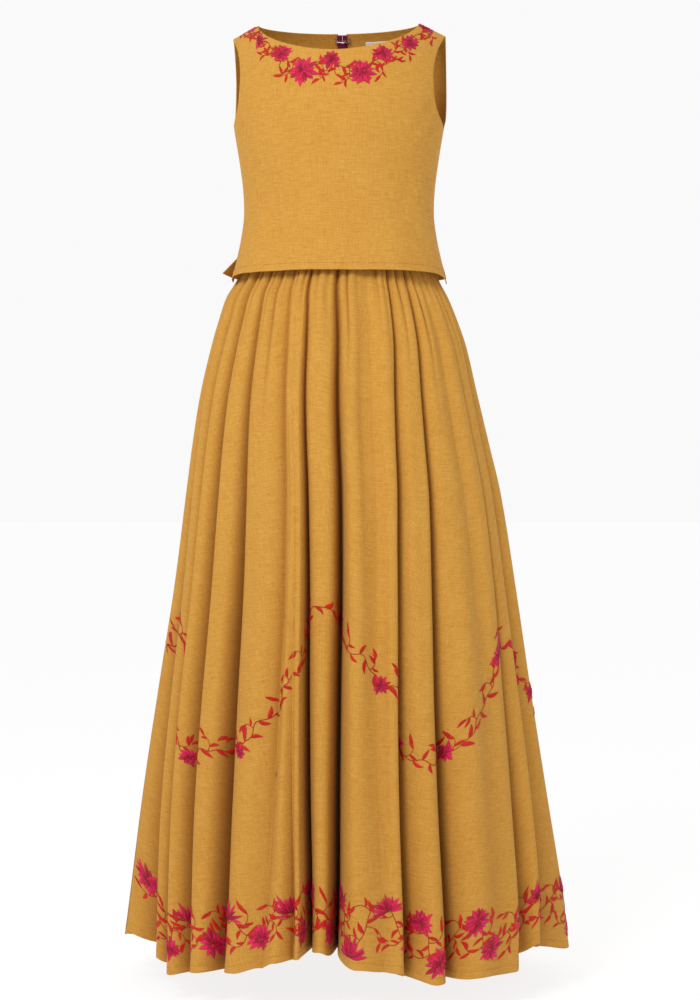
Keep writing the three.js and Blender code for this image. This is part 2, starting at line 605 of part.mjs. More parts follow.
// The hook: a loop on each end and a folded tip that holds the eye's bow
function hookPiece() {
  const upper = sewingLoop(-8.4, 2.3, { x: -1, up: 1 });
  const head = [
    { x: -4.6, inward: 1.4, up: 0.75 },
    { x: 0, inward: 2.3, up: 0.6 },
    { x: 3.2, inward: 2.35, up: 0.6 },
    { x: 4.1, inward: 1.3, up: 0.6 },
    { x: 3.6, inward: 0.25, up: 0.55 },
    { x: 2.4, inward: 0.1, up: 0.5 },
    { x: 2.0, inward: 0.1, up: 0 },
    { x: 2.4, inward: 0.1, up: -0.5 },
    { x: 3.6, inward: 0.25, up: -0.55 },
    { x: 4.1, inward: 1.3, up: -0.6 },
    { x: 3.2, inward: 2.35, up: -0.6 },
    { x: 0, inward: 2.3, up: -0.6 },
    { x: -4.6, inward: 1.4, up: -0.75 },
  ];
  const lower = sewingLoop(-8.4, -2.3, { x: -1, up: -1 }).reverse();
  return bentWire([...upper, ...head, ...lower], 46);
}

const LABEL = { left: 31, right: 65, top: -9, bottom: -27, thick: 1, clear: 1.2 };

// A plain label on the inside of the back, a little below the neck edge
function neckLabel() {
  const shares = [0, 0.2, 0.4, 0.6, 0.8, 1];
  const grid = [0, 0.5, 1].map((v) => shares.map((u) => {
    const x = lerp(LABEL.left, LABEL.right, u);
    const z = lerp(LABEL.bottom, LABEL.top, v);
    return new THREE.Vector3(x, bodiceDepth(1, x, z) + SEAM / 2, z);
  }));
  const face = movedIn(grid, 1, CLOTH + LABEL.clear);
  return wallGeometry(face, movedIn(face, 1, LABEL.thick));
}

// Scene graph

function cloth(color) {
  return new THREE.MeshStandardMaterial({ color, roughness: 0.85, metalness: 0 });
}

function metal(color) {
  return new THREE.MeshStandardMaterial({ color, roughness: 0.3, metalness: 1 });
}

function add(group, name, geometry, material) {
  const mesh = new THREE.Mesh(geometry, material);
  mesh.name = name;
  group.add(mesh);
  return mesh;
}

const dress = new THREE.Group();
const mustard = cloth(MUSTARD);
add(dress, 'bodice_front', bodiceFront(), mustard);
add(dress, 'bodice_back_left', bodiceBack(1), mustard);
add(dress, 'bodice_back_right', bodiceBack(-1), mustard);
add(dress, 'waistband', waistband(), mustard);
add(dress, 'skirt_front', skirtPanel(SEAM_LEFT, SEAM_RIGHT), mustard);
add(dress, 'skirt_back', skirtPanel(SEAM_RIGHT, SEAM_LEFT + FOLDS.length), mustard);
add(dress, 'zip_tape_left', zipTape(1), cloth(BERRY));
add(dress, 'zip_tape_right', zipTape(-1), cloth(BERRY));
add(dress, 'zip_chain', zipChain(), cloth(BERRY));
add(dress, 'hook', hookPiece(), metal(SILVER));
add(dress, 'eye', eyePiece(), metal(SILVER));
add(dress, 'neck_label', neckLabel(), cloth(WHITE));

// The slider and its pull tab stand on the slope of the upper back
const atSlider = backLine(SLIDER_AT);
const sliderGroup = new THREE.Group();
sliderGroup.position.copy(offBackLine(SLIDER_AT, 0, -CLOTH / 2));
sliderGroup.rotation.x = atSlider.turn;
add(sliderGroup, 'zip_slider', zipSlider(), metal(BERRY));
add(sliderGroup, 'zip_pull', zipPull(), metal(BERRY)).position.set(0, PULL_OUT, 0);
dress.add(sliderGroup);

export default dress;
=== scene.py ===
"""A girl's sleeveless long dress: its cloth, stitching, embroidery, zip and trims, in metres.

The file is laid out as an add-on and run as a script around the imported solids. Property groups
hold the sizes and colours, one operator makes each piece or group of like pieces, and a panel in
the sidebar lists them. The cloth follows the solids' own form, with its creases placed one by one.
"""

import json
import math

import bpy
import numpy as np
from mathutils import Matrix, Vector

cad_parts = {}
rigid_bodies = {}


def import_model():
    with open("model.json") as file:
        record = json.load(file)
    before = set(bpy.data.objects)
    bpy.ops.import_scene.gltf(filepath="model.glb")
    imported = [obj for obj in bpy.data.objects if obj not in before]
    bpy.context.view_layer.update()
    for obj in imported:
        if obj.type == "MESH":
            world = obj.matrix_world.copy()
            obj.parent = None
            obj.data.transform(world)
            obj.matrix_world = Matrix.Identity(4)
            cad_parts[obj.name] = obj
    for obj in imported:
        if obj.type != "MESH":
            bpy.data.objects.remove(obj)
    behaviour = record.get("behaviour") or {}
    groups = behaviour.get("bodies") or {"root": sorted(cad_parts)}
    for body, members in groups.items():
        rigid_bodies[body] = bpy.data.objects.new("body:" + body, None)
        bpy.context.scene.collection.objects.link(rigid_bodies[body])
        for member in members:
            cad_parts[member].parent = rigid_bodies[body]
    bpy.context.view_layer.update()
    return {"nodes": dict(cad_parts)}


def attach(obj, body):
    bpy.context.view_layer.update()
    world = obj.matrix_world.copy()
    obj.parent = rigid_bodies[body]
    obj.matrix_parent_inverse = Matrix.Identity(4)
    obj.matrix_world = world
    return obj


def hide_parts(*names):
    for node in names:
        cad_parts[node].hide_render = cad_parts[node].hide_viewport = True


bl_info = {
    "name": "Girl's long dress",
    "version": (1, 0, 0),
    "blender": (4, 5, 0),
    "location": "3D View > Sidebar > Dress",
    "description": "Woven cloth, embroidery, stitching and zip around the dress's solids",
    "category": "Object",
}

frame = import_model()

# The form of the dress, with the same values as its solids

SEAM = 0.0003
WALL = 0.0015  # thickness of the solids' walls
NECK_HALF = 0.1046
SHOULDER_HALF = 0.1385
SHOULDER_DROP = 0.017
NECK_DROP = {"front": 0.047, "back": 0.0}
NECK_ROUNDNESS = 1.8
NAPE_RISE = 0.027
SHOULDER_ROLL = {"front": 0.110, "back": 0.060}
SHOULDER_SHARE = 0.76  # columns inside this share end on the neck, the others on the shoulder
BODY_ROUNDNESS = 2.25
UNDERARM = -0.137
YOKE = -0.070
BODICE_HEM = -0.328
VENT_TOP = -0.300
VENT_FLARE = {"front": (-0.001, 0.001), "back": (0.014, 0.0)}  # left, right
VENT_DROP = {"front": (0.006, 0.010), "back": (-0.007, 0.002)}
VENT_SPREAD = 0.005
VENT_REACH = 0.35
ZIP_END = -0.226
ZIP_STEP = 0.0015
ZIP_HALF = 0.0052
BAND_TOP = -0.238
BAND_CLEAR = 0.00035
WAIST = -0.262
SKIRT_HEM = -1.206
OUT = {"front": -1.0, "back": 1.0}  # which way each side faces along Y

# z, front half width, front depth, back half width, back depth
BODY_SECTIONS = np.array([
    (-0.328, 0.1390, 0.107, 0.1390, 0.104),
    (-0.300, 0.1315, 0.100, 0.1315, 0.098),
    (-0.272, 0.1260, 0.095, 0.1260, 0.092),
    (-0.247, 0.1233, 0.092, 0.1233, 0.089),
    (-0.215, 0.1245, 0.093, 0.1245, 0.091),
    (-0.180, 0.1290, 0.096, 0.1290, 0.095),
    (-0.137, 0.1360, 0.099, 0.1360, 0.098),
    (-0.112, 0.1385, 0.098, 0.1420, 0.097),
    (-0.090, 0.1395, 0.095, 0.1455, 0.094),
    (-0.062, 0.1400, 0.089, 0.1465, 0.088),
    (-0.030, 0.1405, 0.079, 0.1440, 0.078),
    (0.000, 0.1410, 0.070, 0.1410, 0.070),
])
HALF_COLUMN = {"front": 1, "back": 3}
DEPTH_COLUMN = {"front": 2, "back": 4}

# z, then how far the front and the back reach sideways at the armhole
ARMHOLE = np.array([
    (-0.137, 0.1360, 0.1360),
    (-0.133, 0.1353, 0.1372),
    (-0.127, 0.1324, 0.1382),
    (-0.118, 0.1288, 0.1386),
    (-0.105, 0.1260, 0.1388),
    (-0.088, 0.1245, 0.1388),
    (-0.066, 0.1245, 0.1386),
    (-0.038, 0.1295, 0.1385),
    (-0.017, 0.1385, 0.1385),
])
ARMHOLE_COLUMN = {"front": 1, "back": 2}

# z, half width, front depth, back depth, sideways shift
SKIRT_SECTIONS = np.array([
    (-1.206, 0.2920, 0.251, 0.247, 0.009),
    (-1.137, 0.2820, 0.243, 0.239, 0.010),
    (-1.007, 0.2610, 0.224, 0.219, 0.008),
    (-0.877, 0.2400, 0.203, 0.199, 0.007),
    (-0.747, 0.2205, 0.183, 0.178, 0.007),
    (-0.617, 0.2030, 0.165, 0.161, 0.005),
    (-0.552, 0.1920, 0.154, 0.151, 0.002),
    (-0.487, 0.1800, 0.143, 0.140, 0.000),
    (-0.422, 0.1655, 0.129, 0.126, 0.000),
    (-0.384, 0.1540, 0.120, 0.116, -0.001),
    (-0.358, 0.1450, 0.112, 0.108, -0.002),
    (-0.331, 0.1310, 0.100, 0.097, -0.001),
    (-0.300, 0.1230, 0.093, 0.091, 0.000),
    (-0.262, 0.1205, 0.089, 0.087, 0.000),
])

# One row a fold: the valley's angle and its depth at waist, knee and hem, then how far the ridge
# is set back, how far its hem is lifted, how the valley leans and how crisp it is
FOLDS = np.array([
    (-93, -91, -82, 0.004, 0.013, 0.028, 0.000, 0.043, 0.0, 0.4),
    (-78, -76, -57, 0.004, 0.020, 0.038, 0.012, 0.018, 0.1, 0.8),
    (-63, -63, -50, 0.007, 0.027, 0.036, 0.003, 0.004, 0.1, 0.9),
    (-50, -52, -41, 0.007, 0.028, 0.042, 0.000, 0.013, 0.1, 0.9),
    (-40, -36, -31, 0.005, 0.019, 0.044, 0.000, 0.018, 0.1, 0.9),
    (-24, -17, -18, 0.007, 0.013, 0.006, 0.004, 0.033, 0.0, 0.3),
    (-18, -13, -10, 0.002, 0.002, 0.015, 0.008, 0.038, 0.0, 0.3),
    (-13, -10, -7, 0.006, 0.024, 0.056, 0.026, 0.044, 0.0, 0.8),
    (3, 2, 0, 0.007, 0.032, 0.060, 0.000, 0.028, 0.0, 0.9),
    (20, 14, 12, 0.006, 0.009, 0.002, 0.000, 0.023, 0.0, 0.0),
    (36, 23.5, 20, 0.006, 0.026, 0.050, 0.000, 0.007, -0.3, 1.0),
    (47, 36.5, 31, 0.007, 0.024, 0.042, 0.000, 0.011, -0.1, 1.0),
    (56, 53, 43, 0.005, 0.007, 0.002, 0.000, 0.012, 0.0, 0.0),
    (65, 68, 56, 0.005, 0.008, 0.030, 0.008, 0.038, 0.0, 0.5),
    (78, 80, 66, 0.004, 0.010, 0.020, 0.000, 0.020, 0.0, 0.4),
    (92, 93, 92, 0.004, 0.014, 0.032, 0.002, 0.018, 0.0, 0.6),
    (106, 106, 107, 0.006, 0.022, 0.042, 0.000, 0.008, 0.1, 0.9),
    (119, 118, 119, 0.005, 0.012, 0.016, 0.005, 0.016, 0.0, 0.2),
    (131, 130, 128, 0.006, 0.027, 0.048, 0.000, 0.005, -0.1, 0.9),
    (143, 142, 143, 0.005, 0.009, 0.006, 0.002, 0.012, 0.0, 0.0),
    (155, 156, 158, 0.007, 0.030, 0.056, 0.012, 0.026, 0.0, 0.9),
    (168, 168, 169, 0.005, 0.015, 0.034, 0.006, 0.014, 0.0, 0.5),
    (181, 181, 180, 0.007, 0.025, 0.052, 0.000, 0.006, 0.1, 0.9),
    (194, 193, 192, 0.005, 0.010, 0.005, 0.003, 0.011, 0.0, 0.0),
    (207, 207, 206, 0.007, 0.028, 0.052, 0.000, 0.004, 0.1, 1.0),
    (219, 220, 222, 0.006, 0.018, 0.040, 0.006, 0.017, 0.0, 0.6),
    (232, 233, 235, 0.005, 0.013, 0.018, 0.000, 0.008, 0.0, 0.2),
    (244, 246, 250, 0.006, 0.024, 0.046, 0.000, 0.012, -0.1, 0.9),
    (256, 259, 265, 0.004, 0.013, 0.030, 0.003, 0.022, 0.0, 0.5),
])
VALLEY_FLOOR = 0.03
CREASE_POWER = 3.4
CREASE_BITE = 0.55  # how much deeper a crisp valley is along its own middle line
CREASE_WIDTH = 0.065
# Painted shade in the skirt's creases: the cloth's colour is darkened down in each valley
PAINTED_SHADE_BEFORE = 0.130  # width of the painted shade before and after a valley, in folds
PAINTED_SHADE_AFTER = 0.045
SEAM_MARK = 0.025  # width of the deeper colour beside a side seam, in folds
PAINTED_SHADE_FULL = 0.022  # depth at which a crease has its full painted shade
PAINTED_HEM_SHADE = 0.30  # how much painted shade lies between the folds towards the hem
PAINTED_HEM_SHADE_START = 0.35
PAINTED_SHADE_WIDENING = (0.8, 1.9)  # of a crease's painted shade, at waist and hem
# Painted shade along the small gathers below the waist: its strength, width and gain
PAINTED_GATHER_SHADE = 0.95
PAINTED_GATHER_SHADE_WIDTH = 7.5  # in folds for each metre of a gather's half width
PAINTED_GATHER_SHADE_GAIN = 420
SEAM_TONE = 0.6
SEAM_LEFT = 0.5
SEAM_RIGHT = 15.5
TUCK = 0.0025
TUCK_NARROWING = 1.6
TUCK_END = 0.13
GATHER_START = 0.80
GATHER_END = 0.07
SEAM_INSET = 0.003  # half the side seam's space, as a share of a fold

# Small gathers that fade out below the waist: place in folds, depth, half width, share where gone
GATHERS = np.array([
    (0.72, 0.0016, 0.0050, 0.17), (1.30, 0.0022, 0.0042, 0.24), (1.66, 0.0012, 0.0060, 0.14),
    (2.38, 0.0020, 0.0040, 0.20), (2.70, -0.0010, 0.0050, 0.30), (3.42, 0.0024, 0.0045, 0.22),
    (4.24, 0.0018, 0.0042, 0.19), (4.52, 0.0030, 0.0052, 0.36), (4.80, 0.0014, 0.0040, 0.15),
    (5.45, 0.0026, 0.0034, 0.15), (6.50, 0.0022, 0.0040, 0.21), (7.27, 0.0030, 0.0044, 0.17),
    (7.66, 0.0020, 0.0052, 0.25), (8.30, 0.0024, 0.0048, 0.28), (8.68, 0.0014, 0.0044, 0.15),
    (9.35, 0.0028, 0.0045, 0.20), (9.70, 0.0012, 0.0050, 0.30), (10.38, 0.0026, 0.0044, 0.25),
    (10.74, 0.0016, 0.0040, 0.15), (11.45, 0.0026, 0.0046, 0.30), (12.42, 0.0020, 0.0040, 0.19),
    (13.40, 0.0024, 0.0050, 0.26), (14.36, 0.0016, 0.0050, 0.20), (15.10, 0.0014, 0.0040, 0.16),
    (15.80, 0.0016, 0.0050, 0.18), (16.34, 0.0022, 0.0044, 0.24), (17.42, 0.0026, 0.0044, 0.20),
    (17.75, 0.0012, 0.0050, 0.31), (18.30, 0.0022, 0.0042, 0.16), (18.62, 0.0018, 0.0050, 0.27),
    (19.44, 0.0028, 0.0046, 0.22), (20.30, 0.0020, 0.0040, 0.18), (20.64, 0.0024, 0.0050, 0.29),
    (21.42, 0.0024, 0.0044, 0.21), (22.35, 0.0026, 0.0048, 0.26), (22.70, 0.0012, 0.0044, 0.15),
    (23.44, 0.0024, 0.0044, 0.23), (24.32, 0.0020, 0.0042, 0.18), (24.62, 0.0024, 0.0050, 0.28),
    (25.40, 0.0022, 0.0044, 0.20), (26.45, 0.0024, 0.0046, 0.27), (27.36, 0.0020, 0.0042, 0.18),
    (27.68, 0.0014, 0.0050, 0.30), (28.40, 0.0018, 0.0046, 0.20),
])

GATHERING = 3.2  # makes all of them deeper or shallower

# Long soft creases: place in folds at the upper and lower end, share down the skirt where it
# starts and ends, depth (a ridge where it is below 0) and half width
CREASES = np.array([
    (1.48, 1.62, 0.15, 0.85, 0.0030, 0.011), (2.55, 2.42, 0.30, 1.10, -0.0025, 0.010),
    (3.62, 3.50, 0.20, 0.75, 0.0035, 0.012), (4.36, 4.30, 0.12, 0.95, 0.0040, 0.015),
    (4.72, 4.62, 0.35, 1.15, -0.0040, 0.017), (4.55, 4.78, 0.62, 1.20, 0.0035, 0.014),
    (5.55, 5.45, 0.20, 0.70, 0.0025, 0.009), (6.42, 6.55, 0.45, 1.20, -0.0022, 0.010),
    (7.40, 7.62, 0.10, 0.66, 0.0035, 0.012), (7.58, 7.44, 0.55, 1.15, -0.0030, 0.013),
    (8.36, 8.48, 0.16, 0.92, -0.0040, 0.014), (8.78, 8.66, 0.05, 0.60, 0.0042, 0.012),
    (9.22, 9.34, 0.30, 1.12, 0.0045, 0.016), (9.64, 9.58, 0.42, 1.05, -0.0035, 0.014),
    (10.46, 10.58, 0.15, 0.80, 0.0030, 0.011), (10.62, 10.40, 0.55, 1.20, -0.0026, 0.011),
    (11.40, 11.30, 0.10, 0.90, 0.0045, 0.016), (11.72, 11.60, 0.38, 1.15, -0.0040, 0.018),
    (12.30, 12.42, 0.24, 0.95, 0.0040, 0.016), (12.72, 12.70, 0.50, 1.20, 0.0030, 0.013),
    (13.42, 13.50, 0.14, 0.80, 0.0035, 0.013), (14.45, 14.40, 0.22, 1.00, -0.0035, 0.014),
    (15.20, 15.25, 0.35, 1.15, 0.0030, 0.012), (15.78, 15.72, 0.15, 0.85, 0.0030, 0.012),
    (16.50, 16.60, 0.20, 1.05, -0.0035, 0.014), (17.35, 17.50, 0.12, 0.82, 0.0040, 0.015),
    (17.70, 17.62, 0.45, 1.20, -0.0035, 0.014), (18.45, 18.55, 0.18, 0.95, 0.0035, 0.013),
    (19.30, 19.40, 0.30, 1.15, 0.0040, 0.016), (19.70, 19.60, 0.15, 0.75, -0.0030, 0.012),
    (20.50, 20.44, 0.12, 0.90, 0.0035, 0.013), (21.40, 21.55, 0.35, 1.18, -0.0035, 0.014),
    (22.46, 22.40, 0.16, 0.85, 0.0040, 0.015), (23.35, 23.50, 0.25, 1.10, 0.0040, 0.016),
    (23.72, 23.66, 0.45, 1.20, -0.0030, 0.013), (24.50, 24.55, 0.14, 0.88, 0.0035, 0.013),
    (25.48, 25.40, 0.28, 1.12, -0.0035, 0.014), (26.42, 26.55, 0.15, 0.92, 0.0040, 0.015),
    (27.55, 27.45, 0.24, 1.10, 0.0035, 0.014), (28.40, 28.50, 0.18, 0.95, -0.0030, 0.012),
])

MEAN_HALF = 0.135  # of the bodice's half widths

# Soft dents and swells of the bodice: across (share of the half width, from -1 to 1), height,
# slope (sideways run for each metre down), depth, half width and half length
DRESS_LINES = {
    "front": np.array([
        (-0.86, -0.115, 0.55, 0.0018, 0.007, 0.034), (0.88, -0.120, -0.60, 0.0018, 0.007, 0.036),
        (-0.60, -0.285, 0.10, 0.0016, 0.014, 0.050), (-0.25, -0.300, -0.06, -0.0014, 0.018, 0.060),
        (0.20, -0.290, 0.05, 0.0016, 0.016, 0.055), (0.62, -0.280, -0.12, -0.0016, 0.015, 0.050),
        (-0.72, -0.215, 0.35, 0.0014, 0.010, 0.040), (0.74, -0.225, -0.30, 0.0014, 0.010, 0.042),
        (0.03, -0.195, 0.02, -0.0010, 0.030, 0.045),
    ]),
    "back": np.array([
        (-0.84, -0.118, 0.50, 0.0018, 0.008, 0.036), (0.85, -0.112, -0.50, 0.0018, 0.008, 0.034),
        (-0.50, -0.285, 0.08, 0.0016, 0.015, 0.052), (0.46, -0.295, -0.06, 0.0016, 0.015, 0.055),
        (-0.70, -0.220, 0.30, 0.0014, 0.011, 0.040), (0.72, -0.214, -0.34, 0.0014, 0.010, 0.042),
        (-0.36, -0.180, 0.10, -0.0012, 0.020, 0.060), (0.38, -0.170, -0.10, -0.0012, 0.020, 0.060),
    ]),
}

# The zip: heights, and how far its parts lie out from the cloth's face
ZIP_TOP = -0.0012
# Across a tape: under the teeth, beside them, and under the edge of the cloth
TAPE_ACROSS = np.array([[0.00015, 0.0016, 0.0019, 0.0032, 0.0046, 0.0053, 0.0060, 0.0067]])
# Outer and inner face of a tape at those places, beside the chain
TAPE_SINKS = (
    np.array([[-0.00132, -0.00132, -0.00045, -0.00035, -0.00038, -0.00098, -0.00098, -0.00098]]),
    np.array([[-0.00150, -0.00150, -0.00115, -0.00115, -0.00115, -0.00136, -0.00136, -0.00136]]),
)
# The same above the chain, where the tapes are flat, and the places that it is true of
TAPE_FACES = (-0.00035, -0.00115)
TAPE_CENTRE = np.array([[1.0, 1.0, 1.0, 1.0, 1.0, 0.0, 0.0, 0.0]])
CHAIN_TOP = -0.0133
CHAIN_MIDDLE = -0.00095
TOOTH_RADIUS = 0.00036
TOOTH_ARCH = 0.00055

# The neck label: its ends along x, its heights, its space from the cloth, thickness and bow
LABEL_LEFT = 0.031
LABEL_RIGHT = 0.065
LABEL_TOP = -0.009
LABEL_BOTTOM = -0.027
LABEL_CLEAR = 0.0012
LABEL_THICK = 0.0005
LABEL_BOW = 0.0006

# Where the embroidery goes: heights are measured up the cloth from its hem
HEM_MARGIN = 0.018  # from a skirt panel's seam to the first flower of its border
HEM_VINE = (0.032, 0.073, 0.041)  # heights of its low and high flowers, and from one to the next
NECK_ROOM = {"front": (0.020, 0.050), "back": (0.018, 0.022)}

# Marks of the knee swags (place in folds, height), then their blossoms (share along, radius)
SWAGS = {
    "skirt_front": (
        [(0.60, 0.36), (1.30, 0.42), (2.00, 0.33), (2.80, 0.262), (4.20, 0.27), (5.60, 0.33),
         (7.60, 0.425), (9.00, 0.36), (10.30, 0.255), (11.60, 0.285), (13.00, 0.40),
         (14.20, 0.345), (15.35, 0.262)],
        [(0.06, 0.0105), (0.17, 0.0110), (0.30, 0.0100), (0.43, 0.0112), (0.58, 0.0105),
         (0.66, 0.0110), (0.75, 0.0118), (0.83, 0.0140), (0.92, 0.0118)],
    ),
    "skirt_back": (
        [(15.65, 0.262), (17.00, 0.33), (18.20, 0.42), (19.60, 0.34), (21.00, 0.262),
         (22.30, 0.34), (23.60, 0.42), (24.90, 0.34), (26.20, 0.262), (27.40, 0.31), (29.35, 0.36)],
        [(0.08, 0.0110), (0.22, 0.0095), (0.36, 0.0120), (0.50, 0.0100), (0.63, 0.0090),
         (0.78, 0.0125), (0.92, 0.0100)],
    ),
}

# The smooth net round the neck on which the garland is laid out
YOKE_LOW = -0.125
YOKE_HALF = 0.137
YOKE_COLUMNS = 185
YOKE_ROWS = 110
NECK_TRIM = 0.0002  # how far the yoke's net stays below the shoulder line

# Blossoms of the neck garland: share along the edge, distance from it, radius, lean (0: full face)
NECK_BLOSSOMS = {
    "bodice_front": (
        (0.035, 0.0125, 0.0110, 0), (0.15, 0.0125, 0.0100, 0.6), (0.275, 0.0165, 0.0135, 0),
        (0.385, 0.0350, 0.0172, 0), (0.49, 0.0155, 0.0125, 0), (0.60, 0.0380, 0.0160, 0),
        (0.70, 0.0175, 0.0140, 0), (0.83, 0.0150, 0.0120, 0), (0.955, 0.0125, 0.0112, -0.6),
    ),
    "bodice_back_left": (
        (0.62, 0.0145, 0.0105, 0), (0.76, 0.0165, 0.0135, 0), (0.88, 0.0140, 0.0105, 0.6),
        (0.968, 0.0125, 0.0110, 0),
    ),
    "bodice_back_right": (
        (0.032, 0.0125, 0.0110, 0), (0.13, 0.0140, 0.0110, 0.6), (0.26, 0.0165, 0.0130, 0),
        (0.385, 0.0140, 0.0102, 0),
    ),
}

# Camera, placed so that the front view matches the photograph
CAMERA_TURN = math.radians(4.0)
CAMERA_AWAY = 3.0
CAMERA_ASIDE = 0.0143
CAMERA_HEIGHT = -0.6175
CAMERA_LENS = 83.08
CAMERA_SENSOR = 36.0
CAMERA_REACH = 200.0

# Studio
FLOOR_LEVEL = -1.235
FLOOR_REACH = 60.0
FLOOR_GRADE = (-1.3, -0.2, 0.55, 1.0)  # y from and to, then the share of its glow there
WORLD_GRADE = (-0.4, 0.85)  # direction along y where the surroundings start and end to brighten
WHITE = (1.0, 1.0, 1.0, 1.0)
BLACK = (0.0, 0.0, 0.0, 1.0)
LIGHT_AIM = (0.0, 0.0, -0.35)
# Soft lights: share of the key light's power, width and place
LIGHTS = {
    "key": (1.0, 1.3, (-0.95, -2.6, 1.25)),
    "fill": (0.20, 2.0, (2.2, -2.4, 0.2)),
}
GRADE_SOCKETS = ("From Min", "From Max", "To Min", "To Max")


def smooth(x):
    """0 below 0, 1 above 1, and the smooth step 3x^2 - 2x^3 between."""
    x = np.clip(x, 0, 1)
    return x * x * (3 - 2 * x)


def bell(x):
    """A bell curve, 1 at 0: e to the power of -x^2."""
    return np.exp(-(x**2))


def signed_power(x, power):
    """The size of x to a power, with the sign of x."""
    return np.sign(x) * np.abs(x) ** power


def alternate(i):
    """1 for odd numbers and -1 for even ones."""
    return 1 if i % 2 else -1


def lerp(a, b, share):
    """a + (b - a) * share."""
    return a + (b - a) * share


def joined(*parts):
    """Coordinates given one by one, spread to one shape and joined into points."""
    return np.stack(np.broadcast_arrays(*parts), -1)


def unit(vectors):
    """Vectors made one long."""
    return vectors / np.linalg.norm(vectors, axis=-1, keepdims=True)


def distances_along(path):
    """How far along a path each of its points lies: the running sum of its steps' lengths."""
    return np.concatenate([[0], np.cumsum(np.linalg.norm(np.diff(path, axis=0), axis=1))])


def respaced(path, length, count):
    """A path of so many evenly spaced points, from its points and how far along they lie."""
    even = np.linspace(0, length[-1], count)
    return even, np.stack([np.interp(even, length, path[:, i]) for i in range(2)], -1)


def headings(path):
    """The angle at which a path runs at each of its points: the arctangent of its slope."""
    return np.arctan2(*np.gradient(path, axis=0).T[::-1])


def column(rows, index, z):
    """Smooth curve through one column of a table by height: Hermite steps with central slopes."""
    heights = rows[:, 0]
    values = rows[:, index]
    before = np.maximum(np.arange(len(rows)) - 1, 0)
    after = np.minimum(np.arange(len(rows)) + 1, len(rows) - 1)
    slopes = (values[after] - values[before]) / (heights[after] - heights[before])
    at = np.clip(z, heights[0], heights[-1])
    i = np.clip(np.searchsorted(heights, at) - 1, 0, len(rows) - 2)
    span = heights[i + 1] - heights[i]
    u = (at - heights[i]) / span
    level = (2 * u**3 - 3 * u**2 + 1) * values[i] + (3 * u**2 - 2 * u**3) * values[i + 1]
    return level + span * ((u**3 - 2 * u**2 + u) * slopes[i] + (u**3 - u**2) * slopes[i + 1])


# The bodice's form


def body_half(side, z):
    """Half width of the bodice's rounded section at a height."""
    return column(BODY_SECTIONS, HALF_COLUMN[side], z)


def shoulder_line(x):
    """Height of the shoulder line: straight and falling outwards, a parabola over the nape."""
    past = np.abs(x) - NECK_HALF
    falling = -SHOULDER_DROP * past / (SHOULDER_HALF - NECK_HALF)
    return np.where(past > 0, falling, NAPE_RISE * (1 - (x / NECK_HALF) ** 2))


def bodice_depth(side, x, z):
    """Distance of the cloth from the side plane: a superellipse across, a quarter round on top."""
    share = np.abs(x) / body_half(side, z)
    across = np.maximum(0, 1 - share**BODY_ROUNDNESS) ** (1 / BODY_ROUNDNESS)
    roll = np.clip((shoulder_line(x) - z) / SHOULDER_ROLL[side], 0, 1)
    depth = column(BODY_SECTIONS, DEPTH_COLUMN[side], z)
    return OUT[side] * depth * across * np.sqrt(1 - (1 - roll) ** 2)


def panel_reach(side, z):
    """How far a panel reaches sideways: to the side seam, or to the armhole's edge."""
    return np.where(z <= UNDERARM, body_half(side, z), column(ARMHOLE, ARMHOLE_COLUMN[side], z))


def top_edge(side, share, edge):
    """Where a column ends: on the neck's superellipse, or further out on the shoulder seam."""
    past = (share - SHOULDER_SHARE) / (1 - SHOULDER_SHARE)
    turn = np.clip(share / SHOULDER_SHARE, 0, 1) * math.pi / 2
    power = 2 / NECK_ROUNDNESS
    neck_x = edge + (NECK_HALF - edge) * np.sin(turn) ** power
    neck_z = -NECK_DROP[side] * np.maximum(0, np.cos(turn)) ** power
    x = np.where(past > 0, lerp(NECK_HALF, SHOULDER_HALF, past), neck_x)
    return x, np.where(past > 0, -SHOULDER_DROP * past, neck_z)


def bodice_points(side, sign, share, level, climb, edge):
    """Points of a panel: share runs 0 to 1 from centre to side along an even turn of the section.

    Up to the yoke the rows are level. Above it they bend in step towards the neck and shoulder,
    and the outer columns ease over to the armhole's edge. Below the side vents the outer share
    of the panel swings out and hangs lower.
    """
    half = body_half(side, level)

    def turn_of(x):
        return np.arcsin(np.minimum(1, x / half) ** (BODY_ROUNDNESS / 2))

    turn = lerp(turn_of(edge), turn_of(panel_reach(side, level)), share)
    x = half * np.sin(turn) ** (2 / BODY_ROUNDNESS)
    top_x, top_z = top_edge(side, share, edge)
    z = np.where(climb > 0, lerp(YOKE, top_z, climb), level)
    outer_z = lerp(YOKE, -SHOULDER_DROP, climb)
    straight = lerp(panel_reach(side, YOKE), SHOULDER_HALF, climb)
    ease = (column(ARMHOLE, ARMHOLE_COLUMN[side], outer_z) - straight) * smooth((share - 0.84) / 0.16)
    x = np.where(climb > 0, lerp(x, top_x, climb) + ease, x)
    y = np.where((share >= 1) & (z <= UNDERARM), 0, bodice_depth(side, x, z))
    opened = np.maximum(0, (VENT_TOP - z) / (VENT_TOP - BODICE_HEM))
    swing = opened * np.maximum(0, (share - 1 + VENT_REACH) / VENT_REACH) ** 2
    flare = np.where(sign < 0, VENT_FLARE[side][0], VENT_FLARE[side][1]) * swing
    drop = np.where(sign < 0, VENT_DROP[side][0], VENT_DROP[side][1]) * swing
    spread = SEAM / 2 + VENT_SPREAD * swing
    return joined(sign * (x + flare), y + OUT[side] * spread, z - drop)


